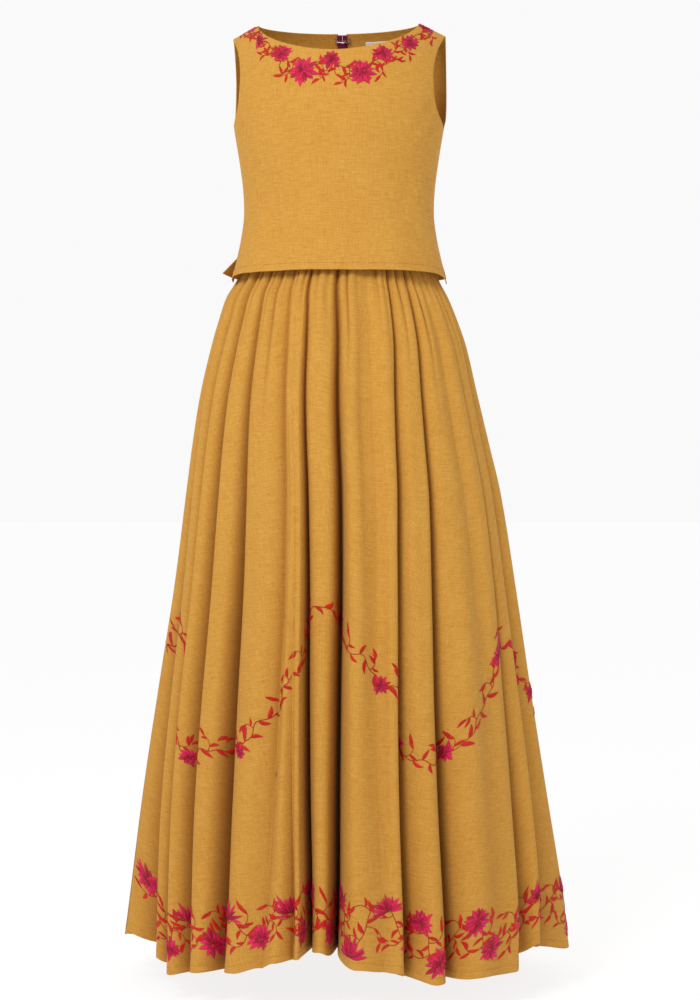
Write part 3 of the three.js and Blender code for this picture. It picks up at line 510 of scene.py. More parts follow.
HALF_SHARES = np.concatenate([
    np.linspace(0, 0.72, 27),
    np.linspace(0.72, 0.80, 6)[1:],
    np.linspace(0.80, 0.985, 13)[1:],
    [0.994, 1.0],
])
LEVELS = np.concatenate([
    [BODICE_HEM, BODICE_HEM + 0.0008],
    np.linspace(BODICE_HEM + 0.003, ZIP_END - ZIP_STEP, 30),
    np.linspace(ZIP_END, UNDERARM, 26),
    np.linspace(UNDERARM, YOKE, 22)[1:],
])
UNDERARM_ROW = len(LEVELS) - 22
CLIMBS = np.concatenate([np.linspace(0, 0.985, 22)[1:], [0.994, 1.0]])
# The level and the climb of each row, from the hem to the neck
ROWS = (
    np.concatenate([LEVELS, np.full(len(CLIMBS), YOKE)])[:, None],
    np.concatenate([np.zeros(len(LEVELS)), CLIMBS])[:, None],
)


def zip_edge(z):
    """Distance of a back panel's inner edge from the centre: it makes room for the zip."""
    return np.where(z >= ZIP_END, ZIP_HALF + SEAM, SEAM / 2)


def bodice_grid(side, signs, shares, edge_at):
    """A panel's grid of points, rows going up and columns across."""
    return bodice_points(side, signs[None, :], shares[None, :], *ROWS, edge_at(ROWS[0]))


def bodice_lines(side, grid):
    """How far the bodice's soft dents push each point in: a bell curve along and across each."""
    x = grid[..., 0] / body_half(side, grid[..., 2])
    depth = np.zeros(grid.shape[:2])
    for across, height, slope, deep, wide, tall in DRESS_LINES[side]:
        down = height - grid[..., 2]
        away = (x - across) * MEAN_HALF - slope * down
        depth += deep * np.exp(-((away / wide) ** 2) - (down / tall) ** 2)
    return depth


# The skirt's form


def fold_value(k, index):
    """A column of the table of folds for fold numbers that may run past its ends."""
    turns, row = np.divmod(k, len(FOLDS))
    value = FOLDS[row, index]
    return value + 360 * turns if index < 3 else value


def bend_through(t, k, first):
    """The parabola through a fold's values at waist, knee and hem."""
    waist = fold_value(k, first)
    knee = fold_value(k, first + 1)
    hem = fold_value(k, first + 2)
    return waist * (2 * t - 1) * (t - 1) + knee * 4 * t * (1 - t) + hem * t * (2 * t - 1)


def valley_shape(share, crisp):
    """How much of a valley is felt at a share of a fold from it: a soft bell or a crisp crease."""
    away = 2 * share
    soft = np.maximum(0, 1 - away**2) ** 2
    narrow = np.maximum(0, 1 - np.maximum(0, away - 2 * VALLEY_FLOOR)) ** CREASE_POWER
    return lerp(soft, narrow, crisp)


def skirt_points(place, t):
    """Points of the skirt's outside: place counts folds round it and t runs 0 to 1 down it.

    A point stands on a half ellipse at its fold's angle and is pushed in by the nearer valley's
    depth, its fold's recess and the small tuck at the waist, and up by the fold's lift.
    """
    place, t = np.broadcast_arrays(place, t)
    k = np.floor(place).astype(int)
    share = place - k
    level = lerp(WAIST - SEAM, SKIRT_HEM, t)
    angle = np.radians(lerp(bend_through(t, k, 0), bend_through(t, k + 1, 0), share))
    near = np.where(share < 0.5, k, k + 1)
    aside = np.minimum(share, 1 - share)
    start = lerp(GATHER_START, 1, np.minimum(1, t / GATHER_END))
    crisp = fold_value(near, 9)
    bite = 1 + CREASE_BITE * crisp * bell(aside / CREASE_WIDTH)
    depth = start * bend_through(t, near, 3) * valley_shape(aside, crisp) * bite
    to_ridge = np.sin(math.pi * aside) ** 2 / 2 + 0.5
    across = np.where(share < 0.5, k - 1, k + 1)
    recess = lerp(fold_value(across, 6), fold_value(k, 6), to_ridge) * t**2
    lift = lerp(fold_value(across, 7), fold_value(k, 7), to_ridge) * t
    half = column(SKIRT_SECTIONS, 1, level)
    reach = np.where(np.cos(angle) > 0, column(SKIRT_SECTIONS, 2, level), column(SKIRT_SECTIONS, 3, level))
    out_x = np.sin(angle) * reach
    out_y = -np.cos(angle) * half
    size = np.hypot(out_x, out_y)
    out_x = out_x / size
    out_y = out_y / size
    middle = valley_shape(np.abs(share - 0.5) * TUCK_NARROWING, 0)
    inward = depth + recess + TUCK * middle * np.maximum(0, 1 - t / TUCK_END)
    sideways = fold_value(near, 8) * depth
    x = column(SKIRT_SECTIONS, 4, level) + half * np.sin(angle) - out_x * inward - out_y * sideways
    y = -reach * np.cos(angle) - out_y * inward + out_x * sideways
    return np.stack([x, y, level + lift], -1)


def painted_shade_and_seam_line(places, steps):
    """How much painted shade lies on the cloth down in its creases, from 0 to 1.

    It is painted shade: a steep bell after each valley's middle and a wider one before it, by the
    valley's depth, narrow bells along the gathers and a low wave between the folds near the hem.
    A narrow dark line also runs beside each side seam.
    """
    place = places[None, :]
    t = steps[:, None]
    k = np.rint(place).astype(int)
    past = place - k
    width = np.where(past < 0, PAINTED_SHADE_BEFORE, PAINTED_SHADE_AFTER) * lerp(*PAINTED_SHADE_WIDENING, t)
    depth = lerp(GATHER_START, 1, np.minimum(1, t / GATHER_END)) * bend_through(t, k, 3)
    share = np.clip(depth / PAINTED_SHADE_FULL, 0, 1) * lerp(0.30, 1.0, fold_value(k, 9))
    tone = share * bell(past / width)
    # Painted shade along the gathers, fading out below the waist
    for middle, deep, wide, end in GATHERS:
        away = (place - middle) / (wide * PAINTED_GATHER_SHADE_WIDTH)
        fade = (1 - smooth(t / end)) * np.clip(deep * PAINTED_GATHER_SHADE_GAIN, 0, 1)
        tone = np.maximum(tone, PAINTED_GATHER_SHADE * bell(away) * fade)
    # Painted shade between the folds, growing towards the hem
    ridge = np.sin(math.pi * place) ** 2
    low = smooth((t - PAINTED_HEM_SHADE_START) / 0.6) * (1 - 0.6 * ridge)
    tone = np.maximum(tone, PAINTED_HEM_SHADE * low)
    from_seam = np.minimum(place - places[0], places[-1] - place) / SEAM_MARK
    return np.maximum(tone, SEAM_TONE * bell(from_seam))


def skirt_places(first, last):
    """Columns across a panel, closest together in the valleys."""
    even = np.arange(math.floor(first) * 21, math.ceil(last) * 21 + 1) / 21
    places = even - 0.115 * np.sin(2 * math.pi * even)
    inside = places[(places > first + 0.02) & (places < last - 0.02)]
    return np.concatenate([[first + SEAM_INSET], inside, [last - SEAM_INSET]])


SKIRT_STEPS = np.concatenate([
    np.linspace(0, 0.1, 16),
    np.linspace(0.1, 1 - 0.0035, 112)[1:],
    [1 - 0.0009, 1.0],
])


def skirt_lines(grid, places, steps):
    """How far gathers and long creases push the cloth in: bell curves across, faded at the ends."""
    size = np.linalg.norm(np.gradient(grid, axis=1), axis=2) / np.gradient(places)[None, :]
    t = steps[:, None]
    depth = np.zeros(grid.shape[:2])
    for place, deep, wide, end in GATHERS:
        away = (places[None, :] - place) * size / 0.8
        depth += GATHERING * deep * bell(away / wide) * (1 - smooth(t / end))
    for upper, lower, start, end, deep, wide in CREASES:
        along = np.clip((t - start) / (end - start), 0, 1)
        away = (places[None, :] - lerp(upper, lower, along)) * size
        body = np.sin(math.pi * along**0.8) ** 1.5
        depth += deep * bell(away / wide) * body
    side = np.minimum(places - places[0], places[-1] - places) / 0.25
    return depth * smooth(side)[None, :]


# Surfaces


def normals_of(grid, facing):
    """Unit normals of a grid: the cross product of its two directions, turned to face outwards."""
    across = np.gradient(grid, axis=1)
    up = np.gradient(grid, axis=0)
    normal = np.cross(across, up)
    normal /= np.linalg.norm(normal, axis=2, keepdims=True)
    return normal * facing


def wall_of(outer, inner, ring=False):
    """A closed wall between two grids, with a rounded rim below and above.

    The rows run up the outside, over the upper rim, down the inside and round the lower rim. Two
    strips close the ends unless the wall is a ring.
    """
    thick = np.linalg.norm(outer - inner, axis=2, keepdims=True)
    upper = (outer[-1] + inner[-1]) / 2 + unit(outer[-1] - outer[-2]) * thick[-1] * 0.35
    lower = (outer[0] + inner[0]) / 2 + unit(outer[0] - outer[1]) * thick[0] * 0.35
    points = np.concatenate([outer, upper[None], inner[::-1], lower[None]])
    rows, columns = points.shape[:2]
    index = np.arange(rows * columns).reshape(rows, columns)
    above = np.roll(index, -1, axis=0)
    if ring:
        index = np.concatenate([index, index[:, :1]], axis=1)
        above = np.concatenate([above, above[:, :1]], axis=1)
    quads = np.stack([index[:, :-1], index[:, 1:], above[:, 1:], above[:, :-1]], -1).reshape(-1, 4)
    triangles = np.zeros((0, 3), int)
    if not ring:
        tall = len(outer)
        back = rows - 2 - np.arange(tall)
        strips = []
        caps = []
        for i, turned in ((0, 1), (columns - 1, -1)):
            strip = np.stack([
                index[: tall - 1, i],
                index[1:tall, i],
                index[back[1:], i],
                index[back[:-1], i],
            ], -1)
            cap = np.array([
                (index[tall - 1, i], index[tall, i], index[tall + 1, i]),
                (index[rows - 2, i], index[rows - 1, i], index[0, i]),
            ])
            strips.append(strip[:, ::turned])
            caps.append(cap[:, ::turned])
        quads = np.concatenate([quads, *strips])
        triangles = np.concatenate(caps)
    return points.reshape(-1, 3), quads, triangles


def faces_out(points, quads, triangles):
    """The faces, turned over if the closed shape they make has a volume below 0."""
    split = np.concatenate([quads[:, [0, 1, 2]], quads[:, [0, 2, 3]], triangles])
    a, b, c = (points[split[:, i]] for i in range(3))
    if np.einsum("ij,ij->", a, np.cross(b, c)) < 0:
        return quads[:, ::-1], triangles[:, ::-1]
    return quads, triangles


def new_piece(name, points, quads, triangles, finish, uv=None, tone=None):
    """A mesh object of the dress, smooth shaded, with its material, its UV map and its tones."""
    mesh = bpy.data.meshes.new(name)
    corners = np.concatenate([quads.ravel(), triangles.ravel()]).astype(np.int32)
    starts = np.concatenate([
        np.arange(len(quads)) * 4,
        len(quads) * 4 + np.arange(len(triangles)) * 3,
    ]).astype(np.int32)
    mesh.vertices.add(len(points))
    mesh.vertices.foreach_set("co", points.astype(np.float32).ravel())
    mesh.loops.add(len(corners))
    mesh.loops.foreach_set("vertex_index", corners)
    mesh.polygons.add(len(starts))
    mesh.polygons.foreach_set("loop_start", starts)
    mesh.update(calc_edges=True)
    mesh.shade_smooth()
    if uv is not None:
        layer = mesh.uv_layers.new(name="cloth")
        layer.data.foreach_set("uv", uv[corners].astype(np.float32).ravel())
    if tone is not None:
        attribute = mesh.attributes.new("tone", "FLOAT", "POINT")
        attribute.data.foreach_set("value", tone.astype(np.float32))
    mesh.materials.append(finish)
    piece = bpy.data.objects.new(name, mesh)
    bpy.context.scene.collection.objects.link(piece)
    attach(piece, "dress")
    return piece


def solid(name):
    """The solid of that name, or an error if the frame has none."""
    if name not in frame["nodes"]:
        raise RuntimeError(f"The frame has no solid called {name}")
    return frame["nodes"][name]


def finish_solid(name, finish):
    """Gives a solid that is kept as it is its material."""
    materials = solid(name).data.materials
    materials.clear()
    materials.append(finish)


def cloth_piece(name, outer, inner, finish, node, ring=False, tone=0.0, upright=None):
    """A closed cloth wall that stands for a CAD node, with a UV map in metres of cloth.

    The map follows the cloth's own rows and columns. On an upright panel it is the distance round
    the body's section, whose half width is given, and the height.
    """
    lengths = ClothMap(outer, outer)
    flat = np.stack([lengths.s, lengths.v], -1)
    if upright is not None:
        x = outer[..., 0]
        flat = np.stack([upright * np.arcsin(np.clip(x / upright, -1, 1)), outer[..., 2]], -1)
    uv = np.concatenate([flat, flat[-1:], flat[::-1], flat[:1]]).reshape(-1, 2)
    points, quads, triangles = wall_of(outer, inner, ring)
    quads, triangles = faces_out(points, quads, triangles)
    # A skirt's tone is painted shade in its creases; the inside and the lower rim take none
    tone = np.broadcast_to(tone, outer.shape[:2])
    tone = np.concatenate([tone, tone[-1:], tone[::-1] * 0, tone[:1] * 0]).ravel()
    solid(node)
    piece = new_piece(name, points, quads, triangles, finish, uv, tone)
    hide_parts(node)
    return piece


class ClothMap:
    """Finds points of a cloth by s, the distance along it from its middle column, and v, up it."""

    def __init__(self, grid, normals):
        self.grid = grid
        self.normals = normals
        along = np.linalg.norm(np.diff(grid, axis=1), axis=2)
        along = np.concatenate([np.zeros((len(grid), 1)), np.cumsum(along, axis=1)], axis=1)
        up = np.linalg.norm(np.diff(grid, axis=0), axis=2)
        self.centre = grid.shape[1] // 2
        self.s = along - along[:, self.centre, None]
        self.v = np.concatenate([np.zeros((1, grid.shape[1])), np.cumsum(up, axis=0)])

    @staticmethod
    def _solve(table, line, wanted):
        """Where along the lines of a table a value is met, between a line and the next one."""
        lines, length = table.shape
        apart = np.ptp(table) + 1.0
        flat = (table + apart * np.arange(lines)[:, None]).ravel()
        places = np.tile(np.arange(length, dtype=float), lines)
        low = np.clip(np.floor(line).astype(int), 0, lines - 2)
        found = []
        for at in (low, low + 1):
            held = np.clip(wanted, table[at, 0], table[at, -1])
            found.append(np.interp(held + apart * at, flat, places))
        return lerp(found[0], found[1], np.clip(line - low, 0, 1))

    def locate(self, s, v):
        """Row and column of a point, found by turns from its height and its distance along."""
        row = np.interp(v, self.v[:, self.centre], np.arange(len(self.grid)))
        for _ in range(5):
            place = self._solve(self.s, row, s)
            row = self._solve(self.v.T, place, v)
        return row, place

    def value(self, table, row, place):
        """A table of the grid's own values, read between its rows and columns."""
        r = np.clip(np.floor(row).astype(int), 0, table.shape[0] - 2)
        c = np.clip(np.floor(place).astype(int), 0, table.shape[1] - 2)
        down = (row - r)[..., None]
        over = (place - c)[..., None]
        low = lerp(table[r, c], table[r, c + 1], over)
        return lerp(low, lerp(table[r + 1, c], table[r + 1, c + 1], over), down)

    def measure(self, table, row, place):
        """The same for a table of plain numbers, such as s or v."""
        return self.value(table[..., None], row, place)[..., 0]


# Finishes


def linear(red, green, blue):
    """A colour given in screen values from 0 to 255, as the linear colour that shaders use."""
    share = np.array([red, green, blue]) / 255
    low = share / 12.92
    high = ((share + 0.055) / 1.055) ** 2.4
    return (*np.where(share <= 0.04045, low, high).tolist(), 1.0)


class Value:
    """A shader's socket that can stand in a sum: each operator adds one Math node."""

    def __init__(self, finish, socket):
        self.finish = finish
        self.socket = socket

    def __add__(self, other):
        return self.finish.math("ADD", self, other)

    __radd__ = __add__

    def __mul__(self, other):
        return self.finish.math("MULTIPLY", self, other)

    __rmul__ = __mul__

    def __sub__(self, other):
        return self.finish.math("SUBTRACT", self, other)

    def __rsub__(self, other):
        return self.finish.math("SUBTRACT", other, self)

    def __abs__(self):
        return self.finish.math("ABSOLUTE", self, 0.0)


SOCKETS = {
    "metallic": "Metallic",
    "sheen_weight": "Sheen Weight",
    "sheen_roughness": "Sheen Roughness",
    "sheen_tint": "Sheen Tint",
    "specular": "Specular IOR Level",
    "glow": "Emission Strength",
}


class Finish:
    """A material on one Principled shader, whose maths is written as Python expressions."""

    def __init__(self, name, **constants):
        self.material = bpy.data.materials.new(name)
        self.material.use_nodes = True
        self.nodes = self.material.node_tree.nodes
        self.links = self.material.node_tree.links
        self.nodes.clear()
        self.shader = self.nodes.new("ShaderNodeBsdfPrincipled")
        output = self.nodes.new("ShaderNodeOutputMaterial")
        self.links.new(self.shader.outputs[0], output.inputs[0])
        for key, value in constants.items():
            self.shader.inputs[SOCKETS[key]].default_value = value

    def node(self, kind, settings, sockets, output=0):
        """A node of a kind, its settings first, then its sockets' values or links."""
        node = self.nodes.new(kind)
        for key, value in settings.items():
            setattr(node, key, value)
        for key, value in sockets.items():
            self.feed(node.inputs[key], value)
        return Value(self, node.outputs[output])

    def feed(self, socket, value):
        """Links a socket to another one, or sets its value."""
        if isinstance(value, Value):
            self.links.new(value.socket, socket)
        else:
            socket.default_value = value

    def math(self, operation, first, second):
        """One Math node with two values."""
        return self.node("ShaderNodeMath", {"operation": operation}, {0: first, 1: second})

    def sine(self, value):
        """The sine of a value."""
        return self.math("SINE", value, 0.0)

    def noise(self, x, y, detail=2.0):
        """Soft noise from -0.5 to 0.5 at a point given by two values."""
        point = self.node("ShaderNodeCombineXYZ", {}, {0: x, 1: y})
        sockets = {"Vector": point, "Scale": 1.0, "Detail": detail, "Roughness": 0.6}
        return self.node("ShaderNodeTexNoise", {"noise_dimensions": "2D"}, sockets) - 0.5

    def mix(self, share, first, second):
        """A colour between two, by a share held to 0 and 1."""
        settings = {"data_type": "RGBA", "clamp_factor": True}
        return self.node("ShaderNodeMix", settings, {0: share, 6: first, 7: second}, 2)

    def parts(self, point, count):
        """The first values of a point."""
        parts = self.nodes.new("ShaderNodeSeparateXYZ")
        self.feed(parts.inputs[0], point)
        return [Value(self, parts.outputs[i]) for i in range(count)]

    def uv(self):
        """The two values of the piece's UV map, in metres of cloth."""
        return self.parts(self.node("ShaderNodeUVMap", {"uv_map": "cloth"}, {}), 2)

    def place(self):
        """The three values of Object coordinates, in metres."""
        return self.parts(self.node("ShaderNodeTexCoord", {}, {}, "Object"), 3)

    def tone(self):
        """The piece's tone attribute, from 0 to 1: painted shade in the skirt's creases, and the mix of a
        thread's two colours in the stitching and embroidery.
        """
        return self.node("ShaderNodeAttribute", {"attribute_name": "tone"}, {}, "Fac")

    def dress(self, colour, roughness=None, height=None, strength=0.3, distance=0.0004):
        """Feeds the shader: its colour, and where given its roughness and raised pattern."""
        self.feed(self.shader.inputs["Base Color"], colour)
        if roughness is not None:
            self.feed(self.shader.inputs["Roughness"], roughness)
        if height is not None:
            sockets = {"Strength": strength, "Distance": distance, "Height": height}
            self.feed(self.shader.inputs["Normal"], self.node("ShaderNodeBump", {}, sockets))
        return self.material


def slub_weave(name, settings):
    """Plain woven cotton: uneven yarns both ways, a fine over-and-under and soft mottling, with painted
    shade in the creases.
    """
    finish = Finish(
        name,
        sheen_weight=0.12,
        sheen_roughness=0.45,
        sheen_tint=linear(255, 214, 140),
        specular=0.22,
    )
    u, v = finish.uv()
    yarn = 2 * math.pi / settings.yarn_pitch
    slub = 1 / settings.slub_width
    long = slub / settings.slub_stretch
    warp = finish.noise(u * slub, v * long)
    weft = finish.noise(u * long, v * slub + 37.0)
    fine_warp = finish.noise(u * slub * 2.3 + 11.0, v * long * 3.0, 1.0)
    fine_weft = finish.noise(u * long * 3.0, v * slub * 2.3 + 5.0, 1.0)
    mottle = finish.noise(u * 22.0 + 3.0, v * 17.0, 3.0)
    weave = finish.sine(u * yarn) * finish.sine(v * yarn)
    streaks = warp * 0.80 + weft * 1.05 + fine_warp * 0.60 + fine_weft * 0.75
    share = streaks + mottle * 0.30 + weave * 0.10 + 0.5
    colour = finish.mix(share, tuple(settings.shade_colour), tuple(settings.light_colour))
    # Painted shade: the tone attribute mixes the crease shade colour into the cloth down in its creases
    colour = finish.mix(finish.tone() * settings.crease_shade_share, colour, tuple(settings.crease_shade_colour))
    height = weave * 0.35 + streaks * 0.8
    return finish.dress(colour, 0.84 - streaks * 0.12, height, 0.35, 0.0004)


def satin_thread(name, dark, light, pitch, slant):
    """Embroidery thread laid in close stitches, slanting from a middle line to the edges."""
    finish = Finish(name, sheen_weight=0.03, sheen_roughness=0.35, specular=0.3)
    u, v = finish.uv()
    across = abs(v)
    turns = 2 * math.pi / pitch
    lay = (u * math.cos(slant) + across * math.sin(slant)) * turns
    ridges = finish.sine(lay)
    grain = finish.noise(u * 900.0, v * 900.0, 1.0)
    share = finish.tone() + ridges * 0.10 + grain * 0.5
    colour = finish.mix(share, dark, light)
    return finish.dress(colour, 0.52 - ridges * 0.08, ridges * 0.5 + grain * 0.4, 0.45, 0.0003)


def twisted_thread(name, dark, light, pitch):
    """Sewing thread: two plies twisted round each other."""
    finish = Finish(name, sheen_weight=0.1, specular=0.3)
    u, v = finish.uv()
    twist = finish.sine((u + v * 0.8) * (2 * math.pi / pitch))
    share = finish.tone() + twist * 0.3
    return finish.dress(finish.mix(share, dark, light), 0.7 - twist * 0.05, twist, 0.4, 0.0001)


def ribbed_tape(name, dark, light):
    """Narrow woven zip tape: fine ribs across it, crossed by the yarns along it."""
    finish = Finish(name, sheen_weight=0.1, specular=0.3)
    u, v = finish.uv()
    ribs = finish.sine(v * (2 * math.pi / 0.0006))
    cords = finish.sine(u * (2 * math.pi / 0.0007))
    wear = finish.noise(u * 700.0, v * 120.0)
    share = ribs * 0.18 + cords * 0.12 + wear * 0.5 + 0.5
    return finish.dress(finish.mix(share, dark, light), 0.72 - ribs * 0.05, ribs + cords * 0.6, 0.4, 0.0002)


def moulded_coil(name, dark, light):
    """The zip's nylon coil: smooth, slightly shiny, a little uneven in its dye."""
    finish = Finish(name, specular=0.5)
    x, y, z = finish.place()
    cloud = finish.noise(x * 500.0 + y * 300.0, z * 500.0)
    return finish.dress(finish.mix(cloud + 0.5, dark, light), 0.36 + cloud * 0.12, cloud, 0.1, 0.0001)


def worn_metal(name, base, worn, roughness, scale, metallic):
    """Metal or its enamel, with a faint brushed grain and here and there a little rubbed."""
    finish = Finish(name, metallic=metallic)
    x, y, z = finish.place()
    brushed = finish.noise(x * scale, z * scale * 0.08 + y * scale * 0.2)
    rubbed = finish.noise(x * 420.0 + y * 260.0, z * 380.0, 4.0)
    colour = finish.mix(rubbed * 1.6 + 0.42, base, worn)
    return finish.dress(colour, roughness + brushed * 0.16, brushed, 0.12, 0.0001)


def label_satin(name):
    """White label satin: long fine floats one way, a faint cross yarn."""
    finish = Finish(name, sheen_weight=0.2, specular=0.45)
    u, v = finish.uv()
    floats = finish.sine(v * (2 * math.pi / 0.0004))
    grain = finish.noise(u * 250.0, v * 1600.0)
    share = floats * 0.12 + grain * 0.5 + 0.5
    colour = finish.mix(share, linear(222, 219, 212), linear(244, 242, 238))
    return finish.dress(colour, 0.5 + grain * 0.12, floats + grain, 0.25, 0.0002)


def pale_floor(name, colour, lift):
    """Matt pale floor that melts into the pale surroundings, with the faintest mottling."""
    finish = Finish(name, specular=0.0, glow=lift)
    x, y, _ = finish.place()
    cloud = finish.noise(x * 3.0, y * 3.0)
    shade = tuple(c * 0.985 for c in colour[:3]) + (1.0,)
    sockets = {"Value": y, **dict(zip(GRADE_SOCKETS, FLOOR_GRADE))}
    behind = finish.node("ShaderNodeMapRange", {"interpolation_type": "SMOOTHSTEP"}, sockets)
    finish.feed(finish.shader.inputs["Emission Color"], finish.mix(behind, BLACK, WHITE))
    return finish.dress(finish.mix(cloud + 0.5, shade, colour), 0.95 + cloud * 0.02)


def finish_named(name, maker, *values):
    """The material of that name, made once."""
    return bpy.data.materials.get(name) or maker(name, *values)


def dress_cloth():
    """The dress's cloth, made once."""
    return finish_named("mustard_slub_cotton", slub_weave, bpy.context.scene.dress_cloth)


# Embroidery and stitching

HEM_EASE = 0.0015  # height over which a turned hem's edge steps down
SEW_BELOW = 0.0014  # how far the hem's stitches lie below its turned edge
SEW_ROW = 6  # the row of a cloth that they follow from side to side
BORDER_ROW = 12
ON_CLOTH = 0.0004  # how far a stitch may lie from where it was laid out
STEM_WIDTH = 0.0011
TENDRIL_WIDTH = 0.0009
TENDRIL_STEPS = 14
BORDER_SWAY = 0.22  # of its flowers sideways, in shares of their spacing
BORDER_RISE = 0.016  # of its flowers up and down
BORDER_RADII = (0.0146, 0.0158)  # of its high and low flowers
FULL_FACE = 0.68  # share of them that are seen from the front
HEM_LEAF = 0.0150
SWAG_LEAF = 0.0168
NECK_LEAF = 0.0120
VINE_STEP = 0.0022  # from one point of a swag's vine to the next
VINE_SWAYS = ((0.0050, 0.074), (0.0022, 0.031))  # size and length of each wave
BLOSSOM_ASIDE = 0.003
VINE_SMOOTHING = 47  # points over which its marks are rounded, an odd number
NECK_STEPS = 301
LARGE_FLOWER = 0.0125  # radius above which a flower has more petals


class Needlework:
    """Collects small raised patches laid out on a cloth, and makes one piece of them."""

    def __init__(self):
        self.patches = []
        self.quads = []
        self.count = 0

    def add(self, s, v, height, uv, tone):
        """Adds patches: arrays of patches by rows by columns."""
        index = np.arange(s.size).reshape(s.shape) + self.count
        corners = [index[:, :-1, :-1], index[:, 1:, :-1], index[:, 1:, 1:], index[:, :-1, 1:]]
        self.quads.append(np.stack(corners, -1).reshape(-1, 4))
        flat = [np.broadcast_to(values, s.shape).ravel() for values in (s, v, height, tone)]
        self.patches.append((*flat, np.broadcast_to(uv, (*s.shape, 2)).reshape(-1, 2)))
        self.count += s.size

    def piece(self, name, cloth, finish, slot, keep=None):
        """The patches as one mesh, lying on the cloth that the map describes.

        Faces that don't lie on the map are left out, and those whose points keep() refuses.
        Raises an error if none is left.
        """
        s, v, height, tone, uv = (np.concatenate(values) for values in zip(*self.patches))
        row, place = cloth.locate(s, v)
        met = np.hypot(
            cloth.measure(cloth.s, row, place) - s,
            cloth.measure(cloth.v, row, place) - v,
        )
        normals = unit(cloth.value(cloth.normals, row, place))
        points = cloth.value(cloth.grid, row, place) + normals * height[:, None]
        quads = np.concatenate(self.quads)
        held = met < ON_CLOTH
        if keep is not None:
            held &= keep(points)
        quads = quads[np.all(held[quads], axis=1)]
        if not len(quads):
            raise RuntimeError(f"{name} doesn't lie on its cloth")
        a, b, d = (points[quads[:, i]] for i in (0, 1, 3))
        normals = normals[quads[:, 0]]
        if np.einsum("ij,ij->", np.cross(b - a, d - a), normals) < 0:
            quads = quads[:, ::-1]
        return new_piece(name, points, quads, np.zeros((0, 3), int), finish, uv, tone)


LEAF_ROWS = np.array([0, 0.07, 0.2, 0.36, 0.52, 0.68, 0.83, 0.94, 1])
LEAF_COLUMNS = np.array([-1.0, -0.62, 0.0, 0.62, 1.0])


def blade(start, heading, length, width, curve, rise, base, fullness, point=0.9):
    """A pointed satin-stitch shape: s, v, height and its own length and width coordinates.

    Its half width follows (4u(1-u))^point with its fullest part moved along, its middle line is
    a parabola, and it rises as a low dome with a groove down the middle.
    """
    u = LEAF_ROWS[:, None]
    w = LEAF_COLUMNS[None, :]
    skew = u ** (math.log(0.5) / math.log(fullness))
    ragged = 1 + 0.10 * np.sin(u * 37.0 + w * 5.0)
    half = width / 2 * (4 * skew * (1 - skew)) ** point * ragged
    along = length * u + 0 * w
    across = w * half + curve * length * 4 * u * (1 - u) * 0.25
    s = start[0] + along * math.cos(heading) - across * math.sin(heading)
    v = start[1] + along * math.sin(heading) + across * math.cos(heading)
    dome = (1 - w**2) ** 0.5 * (4 * skew * (1 - skew)) ** 0.4
    groove = bell(w / 0.22) * 0.45
    height = base + rise * dome * (1 - groove)
    return s, v, height, np.stack([along, w * half], -1)


def step_from(point, heading, distance):
    """The point at a distance along a heading."""
    return point[0] + distance * math.cos(heading), point[1] + distance * math.sin(heading)


